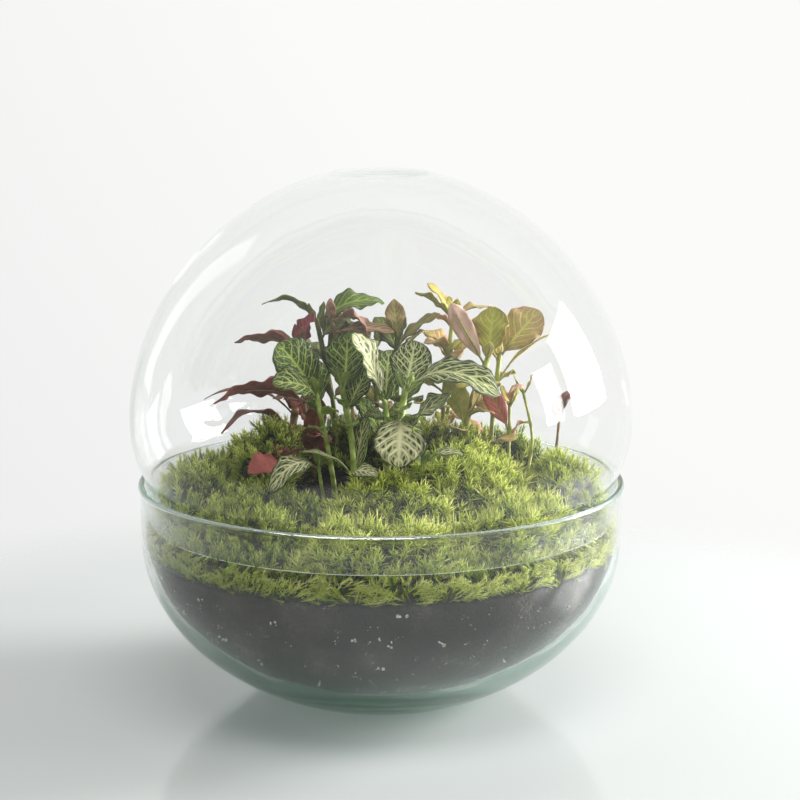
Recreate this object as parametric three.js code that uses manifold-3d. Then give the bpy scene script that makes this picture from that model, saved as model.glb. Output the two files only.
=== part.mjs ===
// A closed glass terrarium: a blown glass bowl with a ball-shaped glass lid, potting soil,
// cushions of moss and small nerve plants, whose leaves are white-veined, red, green or olive.
// Millimetres, +Z up, origin at the middle of the bowl's flat base, seen from -Y.
import * as THREE from "three";
import { mergeVertices } from "three/addons/utils/BufferGeometryUtils.js";
import Module from "manifold-3d";

const wasm = await Module();
wasm.setup();

// Bowl: half an ellipse cut flat at the base, inside too, with an upright collar and a
// fire-polished bead.
const BOWL_RADIUS = 144.9;
const BOWL_DEPTH = 108;
const COLLAR_START = 100;
const COLLAR_END = 125;
const INNER_RADIUS = 142;
const INNER_DEPTH = 101;
const INNER_FLOOR = 12;
const BEAD_RADIUS = 2;
const BEAD_CENTRE = [144, 130];
const BEAD_START = -0.5;
const BEAD_STEPS = 4;

// Lid: a slightly pointed ball with a thick flat button on top and a tapered neck in the bowl.
const BALL_RADIUS = 150.3;
const BALL_CENTRE = 169;
const BALL_UPPER = 150;
const BALL_LOWER = 100.3;
const BALL_SQUARENESS = 1.9;
const LID_WALL = 2.6;
const BUTTON_RADIUS = 28;
const BUTTON_RISE = 0.8;
const BUTTON_THICKNESS = 6;
const NECK = [[142.2, 136.5], [141.65, 130], [141, 124], [139.9, 116], [138.4, 110]];
const NECK_EDGE = 108.5;

const GLASS_SEGMENTS = 32;
const WALL_STEPS = 7;
const LOWER_LID_STEPS = 2;

// Soil: nearly level at the glass, heaped in the middle and a little higher at the back.
const SOIL_GAP = 0.4;
const SOIL_EDGE = 91;
const SOIL_EDGE_CLEARANCE = 3;
const SOIL_RINGS = 6;
const SOIL_CROWN = 34;
const SOIL_BACK_RISE = 10;
const SOIL_LUMP = 0.8;
const LUMP_LENGTHS = [11, 9];
const STEM_DEPTH = 7;
const HOLE_CLEARANCE = 0.45;

// Moss: cushions that lie on the soil, pressed against the glass around the outside.
const MOSS_GAP = 0.6;
const MOSS_EDGE = 2.5;
const MOSS_CREVICE = 1.2;
const MOSS_WANDER = 1.5;
const MOSS_SHIFT = 2;
const BORDER_WANDER = 2.4;
const BAND_TOP = 104.5;
const BAND_RAGGEDNESS = 2.5;
const BAND_CORNER = 4;
const UNDER_NECK_RADIUS = 133.2;
const UNDER_NECK_TOP = 106;
const GLASS_SIDE_SHARE = 0.8;

// Leaves: blade thickness, half width of the leaf stalk, fold of the halves and edge wave.
const BLADE = 0.8;
const STALK = 0.9;
const STALK_SHARE = 0.12;
const FOLD = 0.22;
const WAVE = 1.3;
const WAVES_A_BLADE = 2.2;
const WAVE_PHASES = [0.37, 0.21];
const TIP_SHARE = 0.4;

const GLASS = new THREE.MeshStandardMaterial({
  color: 0xdfeee8, roughness: 0.04, metalness: 0, transparent: true, opacity: 0.3,
});
const SOIL = new THREE.MeshStandardMaterial({ color: 0x38322e, roughness: 0.95, metalness: 0 });
const MOSS_DARK = new THREE.MeshStandardMaterial({ color: 0x6c7f35, roughness: 0.9, metalness: 0 });
const MOSS_LIGHT = new THREE.MeshStandardMaterial({ color: 0x9aae47, roughness: 0.9, metalness: 0 });
const LEAF = {
  white: new THREE.MeshStandardMaterial({ color: 0x6f9a56, roughness: 0.5, metalness: 0 }),
  red: new THREE.MeshStandardMaterial({ color: 0x8a4340, roughness: 0.5, metalness: 0 }),
  green: new THREE.MeshStandardMaterial({ color: 0x56733f, roughness: 0.5, metalness: 0 }),
  olive: new THREE.MeshStandardMaterial({ color: 0x8c8c4c, roughness: 0.5, metalness: 0 }),
  pink: new THREE.MeshStandardMaterial({ color: 0xb0706e, roughness: 0.5, metalness: 0 }),
};

// A seeded random draw between 0 and 1, so that each build gives the same terrarium.
function seededDraw(seed) {
  let state = seed;
  return () => {
    state = (state * 1664525 + 1013904223) % 4294967296;
    return state / 4294967296;
  };
}

// A closed geometry as a solid: shared corners are merged and collapsed triangles dropped.
function solidFrom(geometry) {
  const bare = geometry.clone();
  bare.deleteAttribute("normal");
  bare.deleteAttribute("uv");
  const merged = mergeVertices(bare, 1e-3);
  const kept = [];
  for (let i = 0; i < merged.index.count; i += 3) {
    const [a, b, c] = [0, 1, 2].map((k) => merged.index.getX(i + k));
    if (a !== b && b !== c && c !== a) kept.push(a, b, c);
  }
  const vertProperties = merged.attributes.position.array;
  return new wasm.Manifold(new wasm.Mesh({ numProp: 3, vertProperties, triVerts: new Uint32Array(kept) }));
}

function meshOf(solid, name, material) {
  const { vertProperties, triVerts } = solid.getMesh();
  const geometry = new THREE.BufferGeometry();
  geometry.setAttribute("position", new THREE.BufferAttribute(vertProperties, 3));
  geometry.setIndex(new THREE.BufferAttribute(triVerts, 1));
  geometry.computeVertexNormals();
  const mesh = new THREE.Mesh(geometry, material);
  mesh.name = name;
  return mesh;
}

// A profile of [radius, height] points turned about the vertical axis.
function turned(profile) {
  const points = profile.map(([r, z]) => new THREE.Vector2(r, z));
  return new THREE.LatheGeometry(points, GLASS_SEGMENTS).rotateX(Math.PI / 2);
}

// Points of an arc of a superellipse about [0, centre], between two angles from the equator.
function arc(radius, centre, rise, from, to, steps, squareness = 2) {
  const power = 2 / squareness;
  return Array.from({ length: steps + 1 }, (_, i) => {
    const angle = from + ((to - from) * i) / steps;
    const up = Math.sign(angle) * Math.abs(Math.sin(angle)) ** power;
    return [radius * Math.cos(angle) ** power, centre + rise * up];
  });
}

// Bowl
const BASE_ANGLE = Math.asin(COLLAR_START / BOWL_DEPTH);
const FLOOR_ANGLE = Math.asin((COLLAR_START - INNER_FLOOR) / INNER_DEPTH);
const innerCurve = arc(INNER_RADIUS, COLLAR_START, INNER_DEPTH, 0, -FLOOR_ANGLE, WALL_STEPS - 1);

function glassBowl() {
  const outside = arc(BOWL_RADIUS, COLLAR_START, BOWL_DEPTH, -BASE_ANGLE, 0, WALL_STEPS);
  const bead = Array.from({ length: BEAD_STEPS + 1 }, (_, i) => {
    const angle = BEAD_START + (i * (Math.PI - BEAD_START)) / BEAD_STEPS;
    return [BEAD_CENTRE[0] + BEAD_RADIUS * Math.cos(angle), BEAD_CENTRE[1] + BEAD_RADIUS * Math.sin(angle)];
  });
  const middle = [0, INNER_FLOOR];
  return turned([[0, 0], ...outside, [BOWL_RADIUS, COLLAR_END], ...bead, ...innerCurve, middle]);
}

// The bowl's inner radius at a height under its collar, on the flat between two profile corners.
function innerRadius(z) {
  const next = innerCurve.findIndex(([, height]) => height < z);
  const [[r0, z0], [r1, z1]] = innerCurve.slice(next - 1, next + 1);
  return r0 + ((r1 - r0) * (z0 - z)) / (z0 - z1);
}

// Lid
function glassLid() {
  const share = (radius, ball) => Math.acos((radius / ball) ** (BALL_SQUARENESS / 2));
  const lowerAngle = Math.asin((BALL_CENTRE - NECK[0][1]) / BALL_LOWER);
  const lower = (inset) =>
    arc(BALL_RADIUS - inset, BALL_CENTRE, BALL_LOWER - inset, -lowerAngle, 0, LOWER_LID_STEPS).slice(1, -1);
  const upper = (inset) => {
    const radius = BALL_RADIUS - inset;
    const end = share(BUTTON_RADIUS, radius);
    return arc(radius, BALL_CENTRE, BALL_UPPER - inset, 0, end, WALL_STEPS, BALL_SQUARENESS);
  };
  const outside = [...[...NECK].reverse(), ...lower(0), ...upper(0)];
  const top = outside.at(-1)[1] + BUTTON_RISE;
  const neckInside = NECK.map(([r, z]) => [r - LID_WALL, z]).reverse();
  const inside = [...neckInside, ...lower(LID_WALL), ...upper(LID_WALL)];
  const edge = [[NECK.at(-1)[0] - LID_WALL / 2, NECK_EDGE]];
  const button = [[0, top], [0, top - BUTTON_THICKNESS]];
  return turned([...edge, ...outside, ...button, ...inside.reverse(), ...edge]);
}

// Soil
function soilTop(x, y) {
  const out = Math.hypot(x, y) / INNER_RADIUS;
  const back = Math.max(0, y / INNER_RADIUS);
  const lumps = SOIL_LUMP * Math.sin(x / LUMP_LENGTHS[0]) * Math.cos(y / LUMP_LENGTHS[1]) * (1 - out ** 4);
  return SOIL_EDGE + SOIL_CROWN * (1 - out ** 2) + SOIL_BACK_RISE * back ** 2 + lumps;
}

function soilSolid() {
  const shrink = 1 - SOIL_GAP / INNER_DEPTH;
  const below = [...innerCurve, [0, INNER_FLOOR]]
    .map(([r, z]) => [r * shrink, COLLAR_START - (COLLAR_START - z) * shrink])
    .filter(([, z]) => z < SOIL_EDGE - SOIL_EDGE_CLEARANCE)
    .reverse();
  const edge = innerRadius(SOIL_EDGE) * shrink;
  const above = Array.from({ length: SOIL_RINGS + 1 }, (_, i) => [edge * (1 - i / SOIL_RINGS), SOIL_EDGE]);
  const geometry = turned([...below, ...above]);
  const place = geometry.attributes.position;
  for (let i = 0; i < place.count; i++) {
    if (place.getZ(i) >= SOIL_EDGE) place.setZ(i, soilTop(place.getX(i), place.getY(i)));
  }
  return solidFrom(geometry);
}

// A closed slab between two sheets of points, an upper and a lower one, split alike on both.
function slab(rows, columns, upper, lower) {
  const points = [];
  const index = [];
  for (const sheet of [upper, lower]) {
    for (let i = 0; i <= rows; i++) for (let j = 0; j <= columns; j++) points.push(...sheet(i, j));
  }
  const count = (rows + 1) * (columns + 1);
  const at = (i, j, low = 0) => low * count + i * (columns + 1) + j;
  for (let i = 0; i < rows; i++) {
    for (let j = 0; j < columns; j++) {
      const quad = [at(i, j), at(i + 1, j), at(i + 1, j + 1), at(i, j + 1)];
      const halves = (i + j) % 2 ? [[0, 1, 2], [0, 2, 3]] : [[0, 1, 3], [1, 2, 3]];
      for (const [a, b, c] of halves) {
        index.push(quad[a], quad[c], quad[b]);
        index.push(count + quad[a], count + quad[b], count + quad[c]);
      }
    }
  }
  const wall = (a, b, c, d) => index.push(a, c, b, c, d, b);
  for (let j = 0; j < columns; j++) {
    wall(at(0, j), at(0, j + 1), at(0, j, 1), at(0, j + 1, 1));
    wall(at(rows, j + 1), at(rows, j), at(rows, j + 1, 1), at(rows, j, 1));
  }
  for (let i = 0; i < rows; i++) {
    wall(at(i + 1, 0), at(i, 0), at(i + 1, 0, 1), at(i, 0, 1));
    wall(at(i, columns), at(i + 1, columns), at(i, columns, 1), at(i + 1, columns, 1));
  }
  const geometry = new THREE.BufferGeometry();
  geometry.setAttribute("position", new THREE.Float32BufferAttribute(points, 3));
  geometry.setIndex(index);
  return solidFrom(geometry);
}

// Moss. Each cushion is a piece of a ring: [name, colour, angles in degrees from +X, radii (the
// outer one 0 where it lies at the glass), height of its crown over the soil, height of its tufts,
// number of star-shaped shoots on it].
const CUSHIONS = [
  ["moss_edge_right", MOSS_LIGHT, [-22, 22], [94, 0], 30, 4],
  ["moss_edge_back_right", MOSS_DARK, [22, 67], [97, 0], 25, 4],
  ["moss_edge_back", MOSS_DARK, [67, 112], [98, 0], 22, 4],
  ["moss_edge_back_left", MOSS_DARK, [112, 157], [97, 0], 25, 4],
  ["moss_edge_left", MOSS_DARK, [157, 203], [92, 0], 29, 4],
  ["moss_edge_front_left", MOSS_DARK, [203, 247], [88, 0], 15, 4],
  ["moss_edge_front", MOSS_LIGHT, [247, 293], [92, 0], 12, 4, 3],
  ["moss_edge_front_right", MOSS_LIGHT, [293, 338], [92, 0], 16, 4, 3],
  ["moss_mound_left", MOSS_DARK, [128, 192], [58, 88], 30, 5],
  ["moss_mound_back", MOSS_DARK, [80, 128], [40, 93], 23, 5],
  ["moss_mound_right", MOSS_LIGHT, [10, 80], [33, 90], 24, 5],
  ["moss_front_right", MOSS_LIGHT, [-64, 10], [27, 88], 17, 5, 6],
  ["moss_front", MOSS_LIGHT, [246, 296], [31, 88], 11, 4, 8],
  ["moss_front_left", MOSS_DARK, [192, 246], [66, 84], 9, 4],
];
const FIRST_SEED = 11;
const MOSS_ROWS = 8;
const MOSS_COLUMNS = 5;
const NEEDLE_LENGTH = 11;
const NEEDLE_RADIUS = 0.8;
const NEEDLE_ROOTED = 0.35;
const NEEDLE_LEAN = 0.24;
const NEEDLES_A_SHOOT = 4;

// How far, in degrees, the crevice between two neighbours strays from its straight line.
function borderWander(border, radius) {
  return BORDER_WANDER * Math.sin(radius / 8 + (((border + 360) % 360) * Math.PI) / 180);
}

function mossCushion([, , angles, radii, crown, tuft, shoots = 0], seed) {
  const draw = seededDraw(seed);
  const atGlass = radii[1] === 0;
  const edgeRadius = innerRadius(SOIL_EDGE) * Math.cos(Math.PI / GLASS_SEGMENTS) - MOSS_GAP;
  const rise = (s) => 1 - Math.abs(2 * s - 1) ** 3;
  const grid = [];
  for (let i = 0; i <= MOSS_ROWS; i++) {
    for (let j = 0; j <= MOSS_COLUMNS; j++) {
      const [s, t] = [i / MOSS_ROWS, j / MOSS_COLUMNS];
      const inner = radii[0] + MOSS_WANDER * Math.sin(7 * s + seed);
      const outer = atGlass ? UNDER_NECK_RADIUS : radii[1] + MOSS_WANDER * Math.sin(6 * s + seed + 2);
      const lastRing = atGlass && j === MOSS_COLUMNS;
      const share = atGlass ? j / (MOSS_COLUMNS - 1) : t;
      const inside = i > 0 && i < MOSS_ROWS && j > 0 && j < MOSS_COLUMNS;
      const shift = inside && !(atGlass && share === 1) ? MOSS_SHIFT * (draw() - 0.5) : 0;
      const radius = lastRing ? edgeRadius : inner + (outer - inner) * share + shift;
      const crevice = (s - 0.5) * -2 * (MOSS_CREVICE / radius);
      const [start, end] = angles.map((border) => border + borderWander(border, radius));
      const angle = THREE.MathUtils.degToRad(start + (end - start) * s) + crevice;
      const [x, y] = [radius * Math.cos(angle), radius * Math.sin(angle)];
      const bottom = soilTop(x, y) + MOSS_GAP;
      const spike = (i + j) % 2 ? tuft * (0.5 + draw()) : 0;
      let top = bottom + MOSS_EDGE;
      const across = atGlass ? share * GLASS_SIDE_SHARE : t;
      if (inside) top += (crown - MOSS_EDGE) * rise(s) * rise(across) + spike;
      if (atGlass && share >= 1) {
        const limit = lastRing ? BAND_TOP : UNDER_NECK_TOP;
        top = limit - BAND_RAGGEDNESS * draw() - (i % MOSS_ROWS ? 0 : BAND_CORNER);
      }
      grid.push({ x, y, top, bottom });
    }
  }
  const at = (i, j) => grid[i * (MOSS_COLUMNS + 1) + j];
  const upper = (i, j) => [at(i, j).x, at(i, j).y, at(i, j).top];
  const lower = (i, j) => [at(i, j).x, at(i, j).y, at(i, j).bottom];
  const core = slab(MOSS_ROWS, MOSS_COLUMNS, upper, lower);
  const needles = [];
  for (let k = 0; k < shoots; k++) {
    const [row, column] = [MOSS_ROWS - 1, MOSS_COLUMNS - 2].map((most) => 1 + Math.floor(draw() * most));
    for (let n = 0; n < NEEDLES_A_SHOOT; n++) {
      const turn = ((n + draw() / 2) * 2 * Math.PI) / NEEDLES_A_SHOOT;
      needles.push(needle(at(row, column), turn, NEEDLE_LEAN * (1 + 2 * draw())));
    }
  }
  return wasm.Manifold.union([core, ...needles]);
}

// One three-sided moss leaf, rooted under the cushion's surface and leaning out by lean.
function needle({ x, y, top }, turn, lean) {
  const geometry = new THREE.ConeGeometry(NEEDLE_RADIUS, NEEDLE_LENGTH, 3);
  geometry.translate(0, NEEDLE_LENGTH / 2, 0).rotateX(Math.PI / 2);
  geometry.rotateY(lean).rotateZ(turn).translate(x, y, top - NEEDLE_LENGTH * NEEDLE_ROOTED);
  return solidFrom(geometry);
}

// Nerve plants. A stem runs from its foot in the soil to its top, and may bow sideways in the
// middle. Each leaf is [place on the stem, tip x, y, z, width, arch, roll]: place is the share of
// the stem's length, arch is how far the leaf's middle lifts off the straight line to its tip,
// and roll, in degrees, turns its upper face about that line.
const STEMS = [
  {
    name: "white_nerve_stem_1", foot: [-16, -30], top: [-23, -21, 190], bow: [2, 0], girth: 2.2,
    leaves: [
      [1, -20, -7, 220, 28, -3, -6],
      [0.86, -8, -12, 199, 15, 1, 20],
      [0.42, -9, -14, 172, 12, 1, -10],
      [0.42, -2, -54, 144, 11, 7, 35],
      [0.46, -47, -42, 156, 7, 5, -10],
    ],
  },
  {
    name: "white_nerve_stem_2", foot: [-28, -20], top: [-38, -29, 188], bow: [1, -2], girth: 1.8,
    leaves: [
      [1, -60, -30, 218, 30, 2, -50],
      [0.97, -62, -52, 198, 22, 6, -40],
      [0.9, -46, -2, 208, 20, 2, 10],
    ],
  },
  {
    name: "white_nerve_stem_3", foot: [8, -34], top: [14, -26, 190], bow: [-1, 0], girth: 2.3,
    leaves: [
      [0.86, 10, -52, 149, 31, 4, 0],
      [0.64, 40, -46, 190, 20, 4, 30],
      [1, 20, -8, 216, 25, -2, 5],
      [1, 68, -48, 190, 25, 15, 25],
      [0.9, 31, -6, 200, 17, 4, 0],
    ],
  },
  {
    name: "white_nerve_stem_4", foot: [1, -13], top: [2, -18, 181], bow: [3, 0], girth: 1.9,
    leaves: [
      [1, -17, -30, 223, 28, 2, -48],
      [0.95, 5, 12, 207, 22, 4, 0],
      [0.6, -13, 5, 176, 15, 3, 0],
    ],
  },
  {
    name: "white_nerve_stem_5", foot: [-34, -33], top: [-37, -30, 144], bow: [0, 0], girth: 1.4,
    leaves: [
      [1, -64, -49, 134, 17, 12, -25],
    ],
  },
  {
    name: "white_nerve_stem_6", foot: [25, -40], top: [23, -42, 147], bow: [0, 0], girth: 1.4,
    leaves: [
      [1, 47, -50, 156, 11, 5, 10],
    ],
  },
  {
    name: "red_nerve_stem_1", foot: [-52, 34], top: [-53, 30, 168], bow: [-3, 0], girth: 3.0,
    leaves: [
      [0.95, -109, 27, 174, 6, 12, 0],
      [0.74, -96, -4, 159, 13, 15, 10],
    ],
  },
  {
    name: "red_nerve_stem_2", foot: [-42, 36], top: [-50, 20, 210], bow: [4, -5], girth: 1.8,
    leaves: [
      [1, -88, 4, 213, 15, 4, 30],
      [0.98, -42, 30, 228, 18, 1, -20],
      [0.92, -67, 30, 217, 12, 3, 0],
      [0.72, -100, -8, 178, 23, 9, 32],
      [0.5, -37, 6, 179, 13, 4, 0],
      [0.42, -40, -4, 157, 16, 5, 0],
    ],
  },
  {
    name: "red_nerve_stem_3", foot: [-58, 0], top: [-60, -3, 141], bow: [0, 0], girth: 1.6,
    leaves: [
      [1, -79, -24, 139, 17, 4, 25],
      [0.9, -46, -10, 151, 11, 3, 0],
    ],
  },
  {
    name: "green_nerve_stem_1", foot: [-26, 54], top: [-40, 42, 221], bow: [2, 3], girth: 1.8,
    leaves: [
      [1, -73, 33, 232, 11, 9, 20],
      [1, 2, 60, 229, 19, 8, 25],
      [0.93, -19, 52, 221, 20, 4, 20],
      [0.85, -6, 48, 215, 22, 5, 40],
      [0.8, -28, 50, 203, 17, 4, 20],
    ],
  },
  {
    name: "pink_nerve_stem", foot: [-14, 30], top: [-31, 33, 224], bow: [3, 0], girth: 1.4,
    leaves: [
      [1, -8, 20, 214, 17, 8, -25],
      [0.95, 8, 24, 216, 14, 3, 20],
    ],
  },
  {
    name: "green_nerve_stem_2", foot: [14, 36], top: [10, 30, 213], bow: [-2, 0], girth: 1.8,
    leaves: [
      [1, 8, 36, 235, 14, -1, 0],
      [0.97, 36, 27, 227, 13, 2, 20],
      [0.92, -4, 46, 222, 19, 3, 0],
      [0.85, 26, 20, 218, 17, 3, 20],
      [0.8, -6, 14, 206, 15, 3, 0],
    ],
  },
  {
    name: "olive_nerve_stem_1", foot: [52, 40], top: [66, 36, 198], bow: [-6, 0], girth: 2.2,
    leaves: [
      [0.97, 42, 20, 234, 13, 2, 62],
      [1, 70, 44, 229, 25, -1, -5],
      [0.62, 42, 26, 188, 16, 1, 25],
      [0.62, 67, 40, 185, 16, 1, -25],
    ],
  },
  {
    name: "olive_nerve_stem_2", foot: [38, 52], top: [45, 50, 223], bow: [-2, 2], girth: 1.7,
    leaves: [
      [1, 21, 44, 238, 15, 2, 10],
      [1, 29, 58, 242, 11, 2, 0],
      [0.96, 29, 46, 223, 10, 3, 20],
      [0.85, 29, 34, 207, 15, 4, 10],
      [1, 70, 62, 225, 14, 4, 0],
      [0.72, 55, 44, 205, 14, 3, 0],
    ],
  },
  {
    name: "olive_nerve_stem_3", foot: [68, 47], top: [74, 45, 199], bow: [-1, 2], girth: 1.8,
    leaves: [
      [1, 99, 50, 226, 25, 2, 55],
      [0.85, 107, 60, 209, 4, 5, 0],
      [0.95, 66, 68, 214, 16, 4, 0],
      [0.5, 44, 66, 159, 12, 4, 0],
    ],
  },
  {
    name: "olive_nerve_stem_4", foot: [80, 40], top: [80, 42, 168], bow: [0, 0], girth: 1.3,
    leaves: [
      [1, 86, 36, 182, 12, 1, 0],
      [0.8, 64, 22, 184, 9, 0, 40],
    ],
  },
  {
    name: "olive_nerve_stem_5", foot: [91, 46], top: [89, 50, 175], bow: [5, 0], girth: 1.1,
    leaves: [
      [0.8, 84, 44, 147, 13, 4, 30],
      [1, 85, 56, 178, 6, 1, 0],
    ],
  },
  {
    name: "red_nerve_stem_4", foot: [104, 36], top: [112, 38, 165], bow: [1, 0], girth: 1.1,
    leaves: [
      [1, 115, 32, 178, 11, 1, 0],
      [0.9, 110, 52, 169, 8, 2, 0],
    ],
  },
  {
    name: "green_nerve_stem_3", foot: [-2, 76], top: [-4, 82, 198], bow: [0, 3], girth: 1.8,
    leaves: [
      [1, 16, 92, 214, 20, 4, 0],
      [1, -28, 88, 210, 20, 4, 0],
      [0.75, 4, 112, 178, 18, 7, 0],
      [0.55, -26, 98, 164, 16, 5, 0],
      [0.5, 20, 90, 164, 15, 4, 0],
    ],
  },
  {
    name: "olive_nerve_stem_6", foot: [40, 78], top: [46, 84, 187], bow: [0, 2], girth: 1.7,
    leaves: [
      [1, 68, 92, 202, 19, 5, 0],
      [1, 28, 98, 206, 18, 4, 0],
      [0.7, 52, 110, 170, 16, 6, 0],
    ],
  },
  {
    name: "red_nerve_stem_5", foot: [-46, 72], top: [-51, 78, 182], bow: [0, 2], girth: 1.7,
    leaves: [
      [1, -67, 76, 195, 16, 5, 0],
      [1, -44, 100, 198, 18, 5, 0],
      [0.65, -63, 98, 161, 16, 6, 0],
      [0.5, -69, 62, 154, 14, 5, 0],
    ],
  },
];
const STEM_UPRIGHT = 4;
const STEM_SIDES = 5;
const STEM_STEPS = 5;
const TOP_LEAF_PLACE = 0.985;
const LEAF_STATIONS = [0, 0.2, 0.45, 0.72, 1];
// How fast a blade widens from its base and narrows to its tip.
const OUTLINE = {
  white: { swell: 0.8, taper: 0.6 },
  red: { swell: 0.8, taper: 0.9 },
  green: { swell: 0.7, taper: 0.8 },
  olive: { swell: 0.95, taper: 0.65 },
  pink: { swell: 0.7, taper: 0.7 },
};

// The stem's centre line, from under the soil's surface to its top.
function stemLine({ foot, top, bow }, depth = STEM_DEPTH) {
  const low = new THREE.Vector3(foot[0], foot[1], soilTop(...foot) - depth);
  const straight = new THREE.Vector3(foot[0], foot[1], soilTop(...foot) + STEM_UPRIGHT);
  const high = new THREE.Vector3(...top);
  const middle = straight.clone().lerp(high, 0.5).add(new THREE.Vector3(bow[0], bow[1], 0));
  return new THREE.CatmullRomCurve3([low, straight, middle, high]);
}

function stemSolid(girth, line) {
  const section = new THREE.Shape();
  for (let i = 0; i < STEM_SIDES; i++) {
    const angle = (i * 2 * Math.PI) / STEM_SIDES;
    const corner = [girth * Math.cos(angle), girth * Math.sin(angle)];
    if (i) section.lineTo(...corner);
    else section.moveTo(...corner);
  }
  return solidFrom(new THREE.ExtrudeGeometry(section, { steps: STEM_STEPS, extrudePath: line }));
}

// Half width of a blade as a share of its widest, from its base at 0 to its pointed tip at 1.
function bladeOutline(s, { swell, taper }) {
  const widest = swell / (swell + taper);
  return (s / widest) ** swell * ((1 - s) / (1 - widest)) ** taper;
}

function leafSolid(base, [, x, y, z, width, arch, roll], outline, wavePhase) {
  const tip = new THREE.Vector3(x, y, z);
  const chord = tip.clone().sub(base);
  const along = chord.clone().normalize();
  const up = new THREE.Vector3(0, 0, 1).addScaledVector(along, -along.z).normalize();
  const turn = THREE.MathUtils.degToRad(roll);
  const face = up.clone().multiplyScalar(Math.cos(turn));
  face.addScaledVector(along.clone().cross(up), Math.sin(turn));
  const side = along.clone().cross(face);
  const blade = LEAF_STATIONS.map((s) => STALK_SHARE + (1 - STALK_SHARE) * s);
  const stations = [0, ...blade];
  const surface = (i, j, lift) => {
    const u = stations[i];
    const s = Math.max(0, (u - STALK_SHARE) / (1 - STALK_SHARE));
    const v = j - 1;
    const share = bladeOutline(s, outline);
    const half = Math.max(STALK, (width / 2) * share) * (u === 1 ? TIP_SHARE : 1);
    const heading = chord.clone().addScaledVector(face, 4 * arch * (1 - 2 * u)).normalize();
    const normal = side.clone().cross(heading);
    const wave = WAVE * Math.sin(2 * Math.PI * (WAVES_A_BLADE * u + wavePhase) + v) * share;
    const fold = Math.abs(v) * (FOLD * half * share + wave);
    const point = base.clone().addScaledVector(chord, u).addScaledVector(face, 4 * arch * u * (1 - u));
    point.addScaledVector(side, v * half).addScaledVector(normal, fold + lift);
    return point.toArray();
  };
  const thick = (i) => (i === 0 ? STALK : BLADE / 2);
  const upper = (i, j) => surface(i, j, thick(i));
  const lower = (i, j) => surface(i, j, -thick(i));
  return slab(stations.length - 1, 2, upper, lower);
}

// The first word of a stem's name tells the kind of plant that it belongs to.
const kindOf = (stem) => stem.name.split("_")[0];

function leafyStem(stem, number) {
  const line = stemLine(stem);
  const leaves = stem.leaves.map((leaf, i) => {
    const base = line.getPoint(leaf[0] * TOP_LEAF_PLACE);
    return leafSolid(base, leaf, OUTLINE[kindOf(stem)], WAVE_PHASES[0] * i + WAVE_PHASES[1] * number);
  });
  return wasm.Manifold.union([stemSolid(stem.girth, line), ...leaves]);
}

// The plain hole that a stem stands in, in the soil and through the moss: a wider, deeper stem.
function stemHole(stem) {
  return stemSolid(stem.girth + HOLE_CLEARANCE, stemLine(stem, STEM_DEPTH + HOLE_CLEARANCE));
}

// The terrarium
const holes = STEMS.map(stemHole);
const withHoles = (solid) => holes.reduce((rest, hole) => rest.subtract(hole), solid);

const terrarium = new THREE.Group();
terrarium.add(meshOf(solidFrom(glassBowl()), "glass_bowl", GLASS));
terrarium.add(meshOf(solidFrom(glassLid()), "glass_lid", GLASS));
terrarium.add(meshOf(withHoles(soilSolid()), "potting_soil", SOIL));

const moss = new THREE.Group();
CUSHIONS.forEach((cushion, i) => {
  moss.add(meshOf(withHoles(mossCushion(cushion, FIRST_SEED + i)), cushion[0], cushion[1]));
});
terrarium.add(moss);

const plants = new THREE.Group();
STEMS.forEach((stem, i) => plants.add(meshOf(leafyStem(stem, i), stem.name, LEAF[kindOf(stem)])));
terrarium.add(plants);

export default terrarium;
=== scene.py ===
# A closed glass terrarium: a blown bowl and a ball-shaped lid, potting soil, moss and nerve plants.
# Metres, +Z up, origin at the middle of the bowl's flat base, seen from -Y.
from math import acos, asin, cos, floor, hypot, pi, radians, sin, sqrt

import bmesh
import bpy
import numpy as np
from mathutils import Matrix, Vector, noise


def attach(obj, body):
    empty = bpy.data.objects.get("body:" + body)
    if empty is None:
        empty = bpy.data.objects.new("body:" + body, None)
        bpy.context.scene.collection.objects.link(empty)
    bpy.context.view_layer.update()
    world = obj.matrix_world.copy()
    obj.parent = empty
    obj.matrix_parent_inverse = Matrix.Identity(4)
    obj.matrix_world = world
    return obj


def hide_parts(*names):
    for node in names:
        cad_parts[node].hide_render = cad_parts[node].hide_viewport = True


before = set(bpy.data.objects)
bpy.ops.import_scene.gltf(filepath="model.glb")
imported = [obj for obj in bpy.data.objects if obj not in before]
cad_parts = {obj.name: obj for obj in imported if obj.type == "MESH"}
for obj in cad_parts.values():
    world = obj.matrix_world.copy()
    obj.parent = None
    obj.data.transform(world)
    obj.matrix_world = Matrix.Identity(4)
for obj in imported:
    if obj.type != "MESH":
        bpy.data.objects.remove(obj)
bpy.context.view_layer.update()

# Camera. It stands a little over a metre in front of the terrarium, slightly higher than the lid,
# and looks gently down on it through a long lens.
CAMERA_PLACE = (0, -1.150, 0.398)
CAMERA_TILT = 10.8
CAMERA_TURN = 0.56
CAMERA_LENS = 87.75
LIGHT_BOUNCES = 32

camera = bpy.data.objects.new("camera", bpy.data.cameras.new("camera"))
camera.location = CAMERA_PLACE
camera.rotation_euler = (radians(90 - CAMERA_TILT), 0, -radians(CAMERA_TURN))
camera.data.lens = CAMERA_LENS
bpy.context.scene.collection.objects.link(camera)
bpy.context.scene.camera = camera
bpy.context.scene.view_settings.view_transform = "Standard"
# Light runs a long way inside the thick glass, so its paths may bend and mirror many times.
for bounces in ("max_bounces", "glossy_bounces", "transmission_bounces", "transparent_max_bounces"):
    setattr(bpy.context.scene.cycles, bounces, LIGHT_BOUNCES)

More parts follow.
